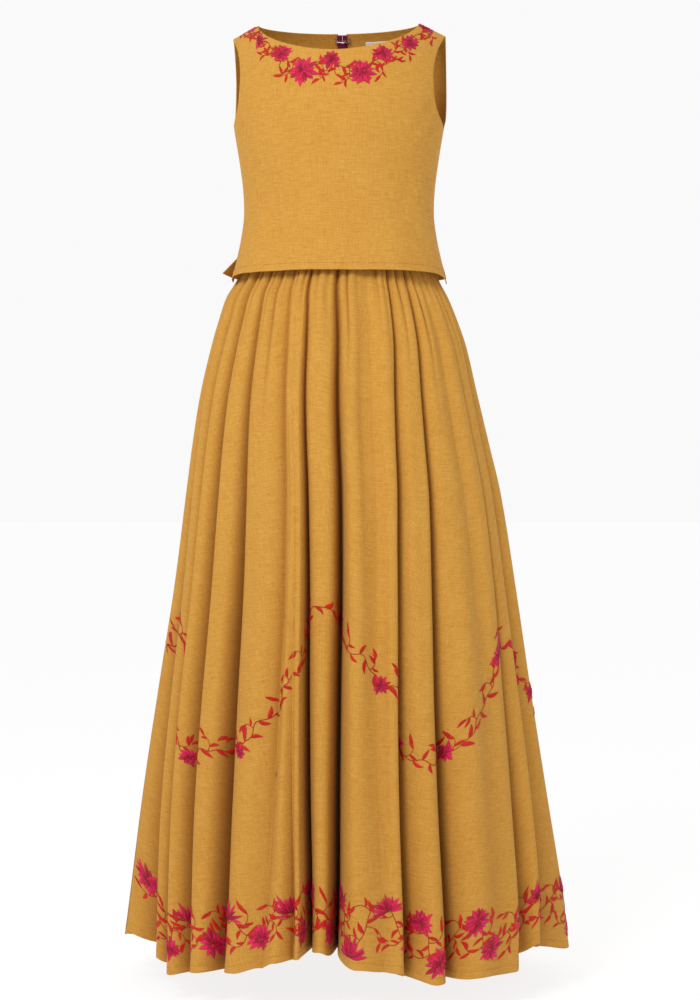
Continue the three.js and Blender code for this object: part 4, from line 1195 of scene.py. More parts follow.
class Embroiderer:
    """Draws flowers, leaves and stems into three works, one for each thread colour."""

    def __init__(self, seed, settings):
        self.flowers = Needlework()
        self.leaves = Needlework()
        self.stems = Needlework()
        self.draw = np.random.default_rng(seed)
        self.rise = settings.rise
        self.base = settings.base

    def vary(self, value, share):
        """A value a little more or less."""
        return value * (1 + share * (self.draw.random() * 2 - 1))

    def nudge(self, size):
        """A value up to half the size either side of 0."""
        return (self.draw.random() - 0.5) * size

    def blade(self, work, tone, *values, **more):
        """Adds one satin-stitch shape to a work."""
        s, v, height, uv = blade(*values, **more)
        work.add(s[None], v[None], height[None], uv[None], tone[None])

    def leaf(self, start, heading, length):
        """A pointed leaf, darker along one side."""
        tone = 0.35 + 0.35 * self.draw.random()
        tone = np.clip(tone + 0.16 * LEAF_COLUMNS[None, :] + 0.2 * (LEAF_ROWS[:, None] - 0.5), 0, 1)
        length = self.vary(length, 0.18)
        curve = self.vary(0.35, 0.8) * (1 if self.draw.random() < 0.5 else -1)
        values = (start, heading, length, length * 0.31, curve, self.rise, self.base)
        self.blade(self.leaves, tone, *values, fullness=0.42)

    def stem(self, path, width=STEM_WIDTH):
        """A rounded cord of stem stitches along a path, thinning towards its end."""
        steps = unit(np.gradient(path, axis=0))
        normal = np.stack([-steps[:, 1], steps[:, 0]], -1)
        w = np.array([-1.0, -0.6, 0.0, 0.6, 1.0])
        thin = lerp(1.0, 0.7, np.linspace(0, 1, len(path)))[:, None]
        s = path[:, 0:1] + normal[:, 0:1] * w * width / 2 * thin
        v = path[:, 1:2] + normal[:, 1:2] * w * width / 2 * thin
        height = self.base + self.rise * 0.75 * np.sqrt(1 - w**2) * thin
        length = np.cumsum(np.linalg.norm(np.gradient(path, axis=0), axis=1))[:, None]
        uv = joined(length, w * width / 2)
        tone = 0.3 + 0.5 * self.draw.random() + 0 * s
        self.stems.add(s[None], v[None], height[None], uv[None], tone[None])

    def petals(self, centre, count, inside, outside, turn, spread, tone, base, wide=1.0):
        """A ring or fan of pointed petals round a centre."""
        whole = spread > 6
        gaps = count if whole else count - 1
        gap = spread / gaps
        for i in range(count):
            share = i / gaps if whole else i / gaps - 0.5
            heading = turn + share * spread + self.nudge(0.16)
            length = self.vary(outside - inside, 0.28)
            start = step_from(centre, heading, inside)
            width = wide * (inside + outside) * 0.5 * min(gap, 0.95)
            shade = tone + 0.5 * (LEAF_ROWS[:, None] - 0.35) + self.nudge(0.8)
            shade = np.clip(shade - 0.55 * np.abs(LEAF_COLUMNS[None, :]) ** 3, 0, 1)
            values = (start, heading, length, width, self.nudge(0.4), self.rise, base)
            self.blade(self.flowers, shade, *values, fullness=0.54, point=1.1)

    def flower(self, centre, radius):
        """A full flower seen from the front: two rings of petals round a knotted heart."""
        turn = self.draw.random() * 6
        full = 2 * math.pi
        outer = 14 if radius > LARGE_FLOWER else 11
        self.petals(centre, outer, radius * 0.16, radius * 1.08, turn, full, 0.66, self.base, 1.25)
        lifted = self.base + self.rise * 0.7
        self.petals(centre, outer - 4, radius * 0.10, radius * 0.76, turn + 0.4, full, 0.46, lifted, 1.0)
        heart = self.base + self.rise * 1.3
        self.petals(centre, 6, 0.0, radius * 0.42, turn, full, 0.30, heart, 1.1)

    def bloom(self, centre, radius, heading):
        """A flower seen from the side: a fan of petals that opens along its heading."""
        foot = step_from(centre, heading, -radius * 0.7)
        self.petals(foot, 11, radius * 0.12, radius * 1.50, heading, 2.9, 0.62, self.base, 1.15)
        lifted = self.base + self.rise * 0.7
        self.petals(foot, 8, radius * 0.10, radius * 1.15, heading, 2.2, 0.42, lifted, 1.0)
        self.petals(foot, 5, 0.0, radius * 0.75, heading, 1.4, 0.26, self.base + self.rise * 1.3, 1.0)

    def sprig(self, start, heading, length, curl, leaf):
        """A tendril whose heading turns more and more along it, with three leaves."""
        turn = heading + curl * np.linspace(0, 1, TENDRIL_STEPS) ** 1.3
        steps = np.stack([np.cos(turn), np.sin(turn)], -1) * length / (TENDRIL_STEPS - 1)
        path = np.cumsum(steps, axis=0)
        path += np.array(start) - path[0]
        self.stem(path, TENDRIL_WIDTH)
        self.leaf(path[-1], turn[-1], leaf)
        for at, side in ((4, -1), (10, 1)):
            self.leaf(path[at], turn[at] + side * self.vary(0.85, 0.3), leaf * 0.85)

    def pieces(self, place, cloth, keep=None):
        """Makes the three pieces of embroidery on one cloth."""
        colours = bpy.context.scene.dress_embroidery
        for part, work, dark, light, slant in (
            ("stems", self.stems, colours.stem_dark, colours.stem_light, 0.9),
            ("leaves", self.leaves, colours.leaf_dark, colours.leaf_light, 0.75),
            ("flowers", self.flowers, colours.petal_dark, colours.petal_light, 0.6),
        ):
            values = (tuple(dark), tuple(light), colours.stitch_pitch, slant)
            finish = finish_named(f"{part}_thread", satin_thread, *values)
            work.piece(f"embroidery_{place}-{part}", cloth, finish, "embroidery", keep)


def curve_between(start, end, start_heading, end_heading, ease, steps=18):
    """A cubic curve between two points that leaves and arrives with given headings."""
    u = np.linspace(0, 1, steps)[:, None]
    a = np.array(start)
    b = np.array(end)
    reach = np.linalg.norm(b - a) * ease
    c = a + reach * np.array([math.cos(start_heading), math.sin(start_heading)])
    d = b - reach * np.array([math.cos(end_heading), math.sin(end_heading)])
    return (1 - u) ** 3 * a + 3 * (1 - u) ** 2 * u * c + 3 * (1 - u) * u**2 * d + u**3 * b


# Sprigs of the hem border: place on the stem, lean, length, curl and leaf length
HEM_SPRIGS = (
    (7, -1.3, 0.028, -1.9, 0.0145),
    (12, 1.2, 0.024, 1.8, 0.0140),
    (3, 1.4, 0.024, 1.5, 0.0140),
)


def hem_border(work, left, right, low, high, repeat):
    """A vine along the hem: flowers in turn low and high, S-shaped stems, sprigs and leaves."""
    count = round((right - left) / repeat)
    step = (right - left) / count
    knots = []
    for k in range(count + 1):
        s = left + k * step + work.nudge(step) * BORDER_SWAY
        knots.append((s, (low if k % 2 else high) + work.nudge(BORDER_RISE)))
    for k, (s, v) in enumerate(knots):
        radius = work.vary(BORDER_RADII[k % 2], 0.14)
        if work.draw.random() < FULL_FACE:
            work.flower((s, v), radius)
        else:
            work.bloom((s, v), radius, math.pi / 2 + work.nudge(1.2))
        if k == count:
            break
        down = alternate(k)
        tilt = down * work.vary(0.9, 0.25)
        path = curve_between((s, v), knots[k + 1], tilt - down * 0.2, tilt * 0.2, 0.55)
        work.stem(path)
        turn = headings(path)
        for at, side in ((5, 1), (8, -1), (12, 1)):
            work.leaf(path[at], turn[at] + side * work.vary(0.9, 0.3), HEM_LEAF)
        for at, lean, length, curl, leaf in HEM_SPRIGS:
            work.sprig(path[at], turn[at] + down * lean, work.vary(length, 0.3), down * curl, leaf)


def swag(work, marks, blossoms):
    """A narrow vine through marks given as distance along the cloth and height up it.

    The marks are joined by a smooth curve, and the vine sways about it. Blossoms are given as
    share along the whole vine and radius.
    """
    q = np.linspace(0, 1, len(marks))
    fine = np.linspace(0, 1, 60 * (len(marks) - 1) + 1)
    kernel = np.hanning(VINE_SMOOTHING)
    kernel /= kernel.sum()

    def rounded(values):
        padded = np.pad(np.interp(fine, q, values), VINE_SMOOTHING // 2, "reflect", reflect_type="odd")
        return np.convolve(padded, kernel, "valid")

    line = joined(rounded(marks[:, 0]), rounded(marks[:, 1]))
    length = distances_along(line)
    even, line = respaced(line, length, int(length[-1] / VINE_STEP))
    step = unit(np.gradient(line, axis=0))
    normal = np.stack([-step[:, 1], step[:, 0]], -1)
    sway = sum(size * np.sin(even * 2 * math.pi / wave) for size, wave in VINE_SWAYS)
    path = line + normal * sway[:, None]
    work.stem(path)
    turn = headings(path)
    places = np.arange(4, len(path) - 4, 5)
    for i, at in enumerate(places):
        side = alternate(i)
        if i % 4 == 3:
            work.sprig(path[at], turn[at] + side * 0.9, work.vary(0.019, 0.2), side * 1.7, 0.0145)
        else:
            work.leaf(path[at], turn[at] + side * work.vary(0.75, 0.35), SWAG_LEAF)
    for share, radius in blossoms:
        at = int(share * (len(path) - 1))
        side = alternate(at)
        work.flower(path[at] + normal[at] * side * BLOSSOM_ASIDE, radius)


def garland(work, edge, blossoms, offset_of):
    """A garland under a neck edge given as points: blossoms as share, offset and radius."""
    step = unit(np.gradient(edge, axis=0))
    inward = np.stack([step[:, 1], -step[:, 0]], -1)
    total = len(edge) - 1

    def at(share, offset):
        i = int(round(share * total))
        return edge[i] + inward[i] * offset, math.atan2(step[i, 1], step[i, 0])

    centres = []
    for share, offset, radius, side in blossoms:
        centre, heading = at(share, offset)
        centres.append((centre, heading, radius))
        if side:
            work.bloom(centre, radius, heading + side)
        else:
            work.flower(centre, radius)
    for i in range(len(centres) - 1):
        (a, turn_a, _), (b, turn_b, _) = centres[i], centres[i + 1]
        down = alternate(i)
        path = curve_between(a, b, turn_a + down * 0.9, turn_b + down * 0.7, 0.5)
        work.stem(path)
        turn = headings(path)
        room = offset_of(blossoms[i][0])
        for place, side in ((7, -1), (10, 1)):
            work.leaf(path[place], turn[place] + side * work.vary(0.9, 0.3), NECK_LEAF)
        work.sprig(path[7], turn[7] - 1.15, room * work.vary(0.62, 0.2), work.vary(1.7, 0.3), 0.0125)
        work.sprig(path[11], turn[11] - 1.0, room * work.vary(0.48, 0.2), -work.vary(1.5, 0.3), 0.0115)
        work.sprig(path[9], turn[9] + 1.2, 0.009, -1.2, 0.0100)
        work.sprig(path[4], turn[4] - 1.7, room * work.vary(0.40, 0.2), work.vary(1.3, 0.3), 0.0120)


def running_stitch(work, path, pitch, length, width, rise, base):
    """A row of short rounded stitches along a path of cloth points, each a low half round."""
    along = distances_along(path)
    centres = np.arange(pitch / 2, along[-1] - pitch / 2, pitch)
    u = np.array([-1.0, -0.7, 0.0, 0.7, 1.0])[None, :, None]
    w = np.array([-1.0, 0.0, 1.0])[None, None, :]
    at = centres[:, None, None] + u * length / 2
    s = np.interp(at, along, path[:, 0])
    v = np.interp(at, along, path[:, 1])
    near = 0.0005
    ahead, climb = (
        np.interp(at + near, along, path[:, i]) - np.interp(at - near, along, path[:, i]) for i in range(2)
    )
    size = np.hypot(ahead, climb)
    narrow = np.sqrt(1 - (u * 0.92) ** 2)
    s = s - climb / size * w * width / 2 * narrow
    v = v + ahead / size * w * width / 2 * narrow
    height = base + rise * narrow * np.sqrt(1 - w**2)
    uv = joined(at, w * width / 2)
    tone = 0.5 + 0.25 * np.sin(centres * 913.0)[:, None, None] + 0 * s
    work.add(s, v, height, uv, tone)


# The cloths


def hem_step(from_hem, settings):
    """How far the turned hem stands out at a height above the hem: a smooth step down at its top."""
    return settings.hem_fold * (1 - smooth((from_hem - settings.hem_depth) / HEM_EASE))


def skirt_cloth(first, last, settings):
    """The grids of a skirt panel: outside, inside, outward normals and the fold places, then its tone:
    painted shade in its creases, and dark side seam lines.
    """
    places = skirt_places(first, last)
    ghosts = np.concatenate([[places[0] - 0.02], places, [places[-1] + 0.02]])
    steps = SKIRT_STEPS[::-1]
    grid = skirt_points(ghosts[None, :], steps[:, None])
    normals = normals_of(grid, 1.0)
    lines = np.zeros(grid.shape[:2])
    lines[:, 1:-1] = skirt_lines(grid[:, 1:-1], places, steps)
    flat = steps[:, None] * (WAIST - SKIRT_HEM)
    hem = hem_step(WAIST - SKIRT_HEM - flat, settings)
    grid = grid + normals * (hem - lines)[..., None]
    normals = normals_of(grid, 1.0)
    inner = grid - normals * settings.thickness
    tone = painted_shade_and_seam_line(places, steps)
    return grid[:, 1:-1], inner[:, 1:-1], normals[:, 1:-1], places, tone


def bodice_cloth(side, signs, shares, edge_at, settings):
    """The grids of a bodice panel: outside, inside and outward normals."""
    grid = bodice_grid(side, signs, shares, edge_at)
    facing = -OUT[side]
    normals = normals_of(grid, facing)
    top = len(grid) - 1
    rows = np.arange(len(grid))[:, None]
    in_seam = (shares[None, :] >= 1) & (rows <= UNDERARM_ROW)
    in_seam |= (shares[None, :] > SHOULDER_SHARE - 0.01) & (rows == top)
    edges = smooth((1 - shares[None, :]) / 0.12) * smooth((top - rows) / 8)
    if side == "back":
        edges = edges * smooth(shares[None, :] / 0.10)
    lines = bodice_lines(side, grid) * edges
    from_hem = grid[..., 2] - grid[:1, :, 2]
    hem = hem_step(from_hem, settings) * (1 - in_seam)
    grid = grid + normals * (hem - lines)[..., None]
    normals = normals_of(grid, facing)
    normals[..., 1] = np.where(in_seam, 0, normals[..., 1])
    normals = unit(normals)
    return grid, grid - normals * settings.thickness, normals


FRONT_SIGNS = np.concatenate([-np.ones(len(HALF_SHARES) - 1), np.ones(len(HALF_SHARES))])
FRONT_SHARES = np.concatenate([HALF_SHARES[:0:-1], HALF_SHARES])
_cloths = {}


def cloths():
    """The grids of all the cloths, worked out once."""
    if not _cloths:
        settings = bpy.context.scene.dress_cloth
        none = np.zeros_like
        ones = np.ones(len(HALF_SHARES))
        _cloths["skirt_front"] = skirt_cloth(SEAM_LEFT, SEAM_RIGHT, settings)
        _cloths["skirt_back"] = skirt_cloth(SEAM_RIGHT, SEAM_LEFT + len(FOLDS), settings)
        _cloths["bodice_front"] = bodice_cloth("front", FRONT_SIGNS, FRONT_SHARES, none, settings)
        _cloths["bodice_back_left"] = bodice_cloth("back", ones, HALF_SHARES, zip_edge, settings)
        mirrored = bodice_cloth("back", -ones[::-1], HALF_SHARES[::-1], zip_edge, settings)
        _cloths["bodice_back_right"] = mirrored
    return _cloths


def strip_grid(x, z, out):
    """A strip along the centre back: x by column, height by row and distance out of the cloth."""
    edge = bodice_grid("back", np.ones(1), np.zeros(1), zip_edge)[:, 0]
    turn = -np.arctan2(np.gradient(edge[:, 1]), np.gradient(edge[:, 2]))
    y = np.interp(z, edge[:, 2], edge[:, 1])[:, None]
    lean = np.interp(z, edge[:, 2], turn)[:, None]
    return joined(x, y + out * np.cos(lean), z[:, None] + out * np.sin(lean))


def yoke_map(side):
    """The smooth cloth round the neck on an even net of x, and the neck's edge in its s and v."""
    x = np.linspace(-YOKE_HALF, YOKE_HALF, YOKE_COLUMNS)[None, :]
    q = np.linspace(0, 1, YOKE_ROWS)[:, None]
    z = lerp(YOKE_LOW, shoulder_line(x) - NECK_TRIM, 1 - (1 - q) ** 2)
    y = bodice_depth(side, x, z) + OUT[side] * SEAM / 2
    grid = joined(x, y, z)
    sewn = ClothMap(grid, normals_of(grid, -OUT[side]))
    turn = np.linspace(-1, 1, 401) * math.pi / 2
    power = 2 / NECK_ROUNDNESS
    edge_x = NECK_HALF * signed_power(np.sin(turn), power)
    edge_z = -NECK_DROP[side] * np.cos(turn) ** power
    place = (edge_x + YOKE_HALF) / (2 * YOKE_HALF) * (YOKE_COLUMNS - 1)
    share = (edge_z - YOKE_LOW) / (shoulder_line(edge_x) - NECK_TRIM - YOKE_LOW)
    row = (1 - np.sqrt(np.maximum(0, 1 - share))) * (YOKE_ROWS - 1)
    edge = joined(sewn.measure(sewn.s, row, place), sewn.measure(sewn.v, row, place))
    return sewn, respaced(edge, distances_along(edge), NECK_STEPS)[1]


def below_neck(side, points):
    """Whether points lie on the cloth: outside the neck's superellipse, below the shoulder seam."""
    x = np.abs(points[:, 0])
    drop = max(NECK_DROP[side], 0.001)
    power = NECK_ROUNDNESS
    round_neck = (x / NECK_HALF) ** power + (np.maximum(0, -points[:, 2]) / drop) ** power
    clear = (round_neck > 1.0) & (points[:, 2] < 0.0)
    return clear & (points[:, 2] < shoulder_line(points[:, 0]) - 0.0008)


# Settings


def metres(name, description, default):
    """A setting in metres."""
    return bpy.props.FloatProperty(name=name, description=description, default=default, unit="LENGTH")


def amount(name, description, default):
    """A setting that is a plain number."""
    return bpy.props.FloatProperty(name=name, description=description, default=default)


def tint(name, description, default):
    """A setting that is a colour, with its alpha."""
    return bpy.props.FloatVectorProperty(
        name=name, description=description, default=default, size=4, subtype="COLOR"
    )


class ClothSettings(bpy.types.PropertyGroup):
    """Sizes and colours of the dress's cloth."""

    thickness: metres("Thickness", "Thickness of the cloth", 0.0009)
    hem_fold: metres("Hem fold", "How far the turned hem stands out", 0.0004)
    hem_depth: metres("Hem depth", "Height of the turned hems", 0.0100)
    yarn_pitch: metres("Yarn pitch", "Width of two yarns of the weave", 0.0011)
    # Painted shade of the skirt's creases: how much of it the creases take, and its colour
    crease_shade_share: amount("Crease share", "How much of the crease colour the creases take", 0.80)
    crease_shade_colour: tint("Crease colour", "Deep colour of the cloth down in its creases", linear(116, 48, 0))
    slub_width: metres("Slub width", "Width of the uneven yarns", 0.0013)
    slub_stretch: amount("Slub stretch", "Length of an uneven yarn over its width", 17.0)
    light_colour: tint("Light colour", "Colour of the lighter yarns", linear(217, 163, 74))
    shade_colour: tint("Shade colour", "Colour of the darker yarns", linear(192, 132, 46))


class EmbroiderySettings(bpy.types.PropertyGroup):
    """Sizes and thread colours of the embroidery."""

    rise: metres("Rise", "How far a stitched shape rises", 0.0007)
    base: metres("Base", "Height of the stitches' edges off the cloth", 0.0003)
    stitch_pitch: metres("Stitch pitch", "Width of one satin stitch", 0.0006)
    petal_dark: tint("Petal shade", "Thread colour at a flower's heart", linear(136, 2, 26))
    petal_light: tint("Petal light", "Thread colour at a flower's tips", linear(228, 30, 86))
    leaf_dark: tint("Leaf shade", "Darker thread colour of the leaves", linear(166, 8, 8))
    leaf_light: tint("Leaf light", "Lighter thread colour of the leaves", linear(220, 34, 16))
    stem_dark: tint("Stem shade", "Darker thread colour of the stems", linear(150, 22, 12))
    stem_light: tint("Stem light", "Lighter thread colour of the stems", linear(190, 40, 22))


class TrimSettings(bpy.types.PropertyGroup):
    """Sizes of the sewing thread and the zip."""

    stitch_length: metres("Stitch length", "Length of a sewing stitch", 0.0022)
    stitch_pitch: metres("Stitch spacing", "From one stitch to the next", 0.0029)
    thread_width: metres("Thread width", "Width of the sewing thread", 0.0005)
    tooth_pitch: metres("Tooth pitch", "From one zip tooth to the next", 0.0013)


class StageSettings(bpy.types.PropertyGroup):
    """The plain floor and the soft studio light."""

    surround: amount("Surround", "Brightness of the pale surroundings behind", 0.95)
    front_surround: amount("Front surround", "Brightness of the surroundings in front", 0.45)
    floor_glow: amount("Floor glow", "Light that the floor adds to what falls on it", 0.835)
    key_light: amount("Key light", "Power of the soft light from the front left", 61.0)
    floor_colour: tint("Floor colour", "Colour of the pale floor", (0.22, 0.22, 0.22, 1.0))


# Operators


class DRESS_OT_stage(bpy.types.Operator):
    """Makes the camera, the soft light and the pale floor"""

    bl_idname = "dress.stage"
    bl_label = "Studio"

    def execute(self, context):
        scene = context.scene
        settings = scene.dress_stage
        if bpy.data.objects.get("floor"):
            raise RuntimeError("The studio is made already")
        scene.view_settings.view_transform = "Standard"
        world = bpy.data.worlds.new("studio")
        scene.world = world
        world.use_nodes = True
        nodes = world.node_tree.nodes
        links = world.node_tree.links
        toward = nodes.new("ShaderNodeTexCoord")
        parts = nodes.new("ShaderNodeSeparateXYZ")
        grade = nodes.new("ShaderNodeMapRange")
        grade.interpolation_type = "SMOOTHSTEP"
        limits = (*WORLD_GRADE, settings.front_surround, settings.surround)
        for key, value in zip(GRADE_SOCKETS, limits):
            grade.inputs[key].default_value = value
        links.new(toward.outputs["Generated"], parts.inputs[0])
        links.new(parts.outputs[1], grade.inputs["Value"])
        links.new(grade.outputs[0], nodes["Background"].inputs["Strength"])
        nodes["Background"].inputs["Color"].default_value = WHITE
        camera = bpy.data.objects.new("camera", bpy.data.cameras.new("camera"))
        scene.collection.objects.link(camera)
        camera.data.sensor_width = CAMERA_SENSOR
        camera.data.lens = CAMERA_LENS
        camera.data.clip_end = CAMERA_REACH
        along = np.array([math.cos(CAMERA_TURN), math.sin(CAMERA_TURN)]) * CAMERA_ASIDE
        away = np.array([math.sin(CAMERA_TURN), -math.cos(CAMERA_TURN)]) * CAMERA_AWAY
        camera.location = (*(along + away), CAMERA_HEIGHT)
        camera.rotation_euler = (math.pi / 2, 0, CAMERA_TURN)
        scene.camera = camera
        for name, (power, wide, at) in LIGHTS.items():
            lamp = bpy.data.lights.new(name, "AREA")
            lamp.energy = settings.key_light * power
            lamp.size = wide
            holder = bpy.data.objects.new(name, lamp)
            holder.location = at
            aim = Vector(LIGHT_AIM) - Vector(at)
            holder.rotation_euler = aim.to_track_quat("-Z", "Y").to_euler()
            scene.collection.objects.link(holder)
        corners = np.array([(-1, -1), (1, -1), (1, 1), (-1, 1)]) * FLOOR_REACH
        mesh = bpy.data.meshes.new("floor")
        mesh.from_pydata([(x, y, FLOOR_LEVEL) for x, y in corners], [], [(0, 1, 2, 3)])
        floor = bpy.data.objects.new("floor", mesh)
        scene.collection.objects.link(floor)
        mesh.materials.append(pale_floor("pale_floor", tuple(settings.floor_colour), settings.floor_glow))
        return {"FINISHED"}


class DRESS_OT_skirt(bpy.types.Operator):
    """Makes the two gathered skirt panels"""

    bl_idname = "dress.skirt"
    bl_label = "Skirt"

    def execute(self, context):
        for name in ("skirt_front", "skirt_back"):
            # tone is the painted shade of the skirt's creases and gathers
            outer, inner, _, _, tone = cloths()[name]
            cloth_piece(f"{name}_cloth", outer, inner, dress_cloth(), name, tone=tone)
        return {"FINISHED"}


class DRESS_OT_bodice(bpy.types.Operator):
    """Makes the bodice's front and two backs, and the waistband inside them"""

    bl_idname = "dress.bodice"
    bl_label = "Bodice"

    def execute(self, context):
        for name in ("bodice_front", "bodice_back_left", "bodice_back_right"):
            outer, inner, _ = cloths()[name]
            cloth_piece(f"{name}_cloth", outer, inner, dress_cloth(), name, upright=SHOULDER_HALF)
        gap = WALL + SEAM + BAND_CLEAR
        rings = [self.band(gap), self.band(gap + WALL)]
        cloth_piece("waistband_cloth", *rings, dress_cloth(), "waistband", ring=True)
        return {"FINISHED"}

    @staticmethod
    def band(inward):
        """A ring of the waistband: the bodice's rounded section, a distance inside it."""
        z = np.linspace(WAIST, BAND_TOP, 9)[:, None]
        turn = np.arange(160)[None, :] / 160 * 2 * math.pi
        sine, cosine = (signed_power(wave(turn), 2 / BODY_ROUNDNESS) for wave in (np.sin, np.cos))
        front = np.cos(turn) > 0
        half = np.where(front, body_half("front", z), body_half("back", z))
        depth = np.where(front, column(BODY_SECTIONS, 2, z), column(BODY_SECTIONS, 4, z))
        return joined((half - inward) * sine, -(depth - inward) * cosine, z)


class DRESS_OT_stitching(bpy.types.Operator):
    """Sews the hems with rows of short stitches"""

    bl_idname = "dress.stitching"
    bl_label = "Stitching"

    def execute(self, context):
        trim = context.scene.dress_trim
        height = context.scene.dress_cloth.hem_depth - SEW_BELOW
        colours = (linear(150, 96, 34), linear(196, 136, 62))
        thread = finish_named("sewing_thread", twisted_thread, *colours, 0.0006)
        sizes = (trim.stitch_pitch, trim.stitch_length, trim.thread_width, trim.thread_width * 0.6, 0.0001)
        for name, (outer, _, normals, *_) in cloths().items():
            sewn = ClothMap(outer, normals)
            work = Needlework()
            running_stitch(work, joined(sewn.s[SEW_ROW, 2:-2], height), *sizes)
            work.piece(f"stitching_{name}", sewn, thread, "cloth")
        return {"FINISHED"}


class DRESS_OT_embroidery(bpy.types.Operator):
    """Embroiders the neck, the knee swags and the hem border"""

    bl_idname = "dress.embroidery"
    bl_label = "Embroidery"

    def execute(self, context):
        settings = context.scene.dress_embroidery
        for name, seed in (("skirt_front", 11), ("skirt_back", 23)):
            outer, _, normals, places, _ = cloths()[name]
            sewn = ClothMap(outer, normals)
            work = Embroiderer(seed, settings)
            ends = sewn.s[BORDER_ROW, 2] + HEM_MARGIN, sewn.s[BORDER_ROW, -3] - HEM_MARGIN
            hem_border(work, *ends, *HEM_VINE)
            work.pieces(f"{name}-hem", sewn)
            work = Embroiderer(seed + 1, settings)
            marks, blossoms = SWAGS[name]
            marks = np.array(marks)
            at = np.interp(marks[:, 0], places, np.arange(len(places)))
            level = np.interp(marks[:, 1], sewn.v[:, sewn.centre], np.arange(len(outer)))
            s = sewn.measure(sewn.s, level, at)
            swag(work, joined(s, marks[:, 1]), blossoms)
            work.pieces(f"{name}-knee", sewn)
        for seed, (name, blossoms) in enumerate(NECK_BLOSSOMS.items()):
            side = name.split("_")[1]
            room = NECK_ROOM[side]
            sewn, edge = yoke_map(side)
            work = Embroiderer(41 + seed, settings)
            garland(work, edge, blossoms, lambda share: lerp(room[0], room[1], math.sin(math.pi * share)))
            work.pieces(f"{name}-neck", sewn, lambda points: below_neck(side, points))
        return {"FINISHED"}


class DRESS_OT_zip(bpy.types.Operator):
    """Makes the zip's woven tapes and its row of teeth, and finishes its slider and pull tab"""

    bl_idname = "dress.zip"
    bl_label = "Zip"

    def execute(self, context):
        berry = (linear(104, 14, 44), linear(146, 26, 70))
        tape = finish_named("berry_zip_tape", ribbed_tape, *berry)
        z = np.linspace(ZIP_END + SEAM, ZIP_TOP, 150)
        closing = smooth((z[:, None] - CHAIN_TOP) / 0.004)
        faces = [lerp(face, TAPE_FACES[i], closing * TAPE_CENTRE) for i, face in enumerate(TAPE_SINKS)]
        for sign, side in ((1, "left"), (-1, "right")):
            outer = strip_grid(sign * TAPE_ACROSS, z, faces[0])
            backing = strip_grid(sign * TAPE_ACROSS, z, faces[1])
            name = f"zip_tape_{side}"
            piece = cloth_piece(f"{name}_cloth", outer, backing, tape, name)
        self.teeth(context)
        enamel = (linear(122, 18, 54), linear(158, 44, 84), 0.34, 900.0, 0.35)
        coat = finish_named("berry_enamel", worn_metal, *enamel)
        for name in ("zip_slider", "zip_pull"):
            finish_solid(name, coat)
        return {"FINISHED"}

    def teeth(self, context):
        """Coil teeth: arched round loops from each side in turn, each a bent tube of six sides."""
        pitch = context.scene.dress_trim.tooth_pitch
        centres = np.arange(ZIP_END + 0.0012, CHAIN_TOP - 0.0006, pitch / 2)
        sign = np.where(np.arange(len(centres)) % 2, 1.0, -1.0)[:, None, None]
        along = np.linspace(0, 1, 8)[None, :, None]
        around = (np.arange(6) / 6 * 2 * math.pi)[None, None, :]
        radius = TOOTH_RADIUS * np.sin(math.pi * np.clip(along * 0.96 + 0.02, 0, 1)) ** 0.35
        reach = lerp(1.45, -0.55, along) * 0.001
        arch = CHAIN_MIDDLE + TOOTH_ARCH * np.sin(math.pi * along)
        x = sign * reach + 0 * around
        out = arch + radius * np.sin(around)
        rise = radius * np.cos(around)
        shape = np.broadcast_shapes(x.shape, out.shape, rise.shape)
        flat = [np.broadcast_to(value, shape).reshape(len(centres), -1) for value in (x, out, rise)]
        points = strip_grid(flat[0], centres, flat[1]) + np.array([0, 0, 1]) * flat[2][..., None]
        points = points.reshape(*shape, 3)
        teeth, rings, sides = points.shape[:3]
        index = np.arange(teeth * rings * sides).reshape(teeth, rings, sides)
        over = np.roll(index, -1, axis=2)
        quads = np.stack([index[:, :-1], index[:, 1:], over[:, 1:], over[:, :-1]], -1).reshape(-1, 4)
        ends = np.concatenate([index[:, 0, ::-1], index[:, -1, :]])
        caps = np.concatenate([ends[:, [0, i, i + 1]] for i in range(1, sides - 1)])
        flat = points.reshape(-1, 3)
        quads = np.where(np.repeat(sign.ravel() > 0, (rings - 1) * sides)[:, None], quads, quads[:, ::-1])
        caps_sign = np.tile(np.concatenate([sign.ravel(), sign.ravel()]) > 0, sides - 2)[:, None]
        caps = np.where(caps_sign, caps, caps[:, ::-1])
        quads, caps = faces_out(flat, quads, caps)
        nylon = finish_named("berry_coil", moulded_coil, linear(110, 14, 48), linear(150, 30, 76))
        piece = new_piece("zip_coil", flat, quads, caps, nylon)
        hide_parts("zip_chain")


class DRESS_OT_fasteners(bpy.types.Operator):
    """Finishes the hook and eye and makes the plain neck label"""

    bl_idname = "dress.fasteners"
    bl_label = "Hook, eye and label"

    def execute(self, context):
        wire = (linear(176, 176, 180), linear(222, 222, 226), 0.24, 1400.0, 1.0)
        silver = finish_named("silver_wire", worn_metal, *wire)
        for name in ("hook", "eye"):
            finish_solid(name, silver)
        u = np.linspace(LABEL_LEFT, LABEL_RIGHT, 36)[None, :]
        z = np.linspace(LABEL_BOTTOM, LABEL_TOP, 16)[:, None]
        share = (u - LABEL_LEFT) / (LABEL_RIGHT - LABEL_LEFT)
        up = (z - LABEL_BOTTOM) / (LABEL_TOP - LABEL_BOTTOM)
        y = bodice_depth("back", u, z) + SEAM / 2
        cloth = joined(u, y, z)
        normals = normals_of(cloth, -1.0)
        bow = LABEL_BOW * np.sin(math.pi * share) * (1 - 0.6 * up)
        face = cloth - normals * (WALL + LABEL_CLEAR + LABEL_THICK / 2 - bow)[..., None]
        satin = finish_named("label_satin", label_satin)
        piece = cloth_piece("neck_label_cloth", face, face - normals * LABEL_THICK, satin, "neck_label")
        return {"FINISHED"}


def on_cloth(name):
    """The cloth that a piece of needlework lies on, from its name."""
    for kind in ("stitching_", "embroidery_"):
        if name.startswith(kind):
            return name[len(kind):].split("-")[0]
    return None


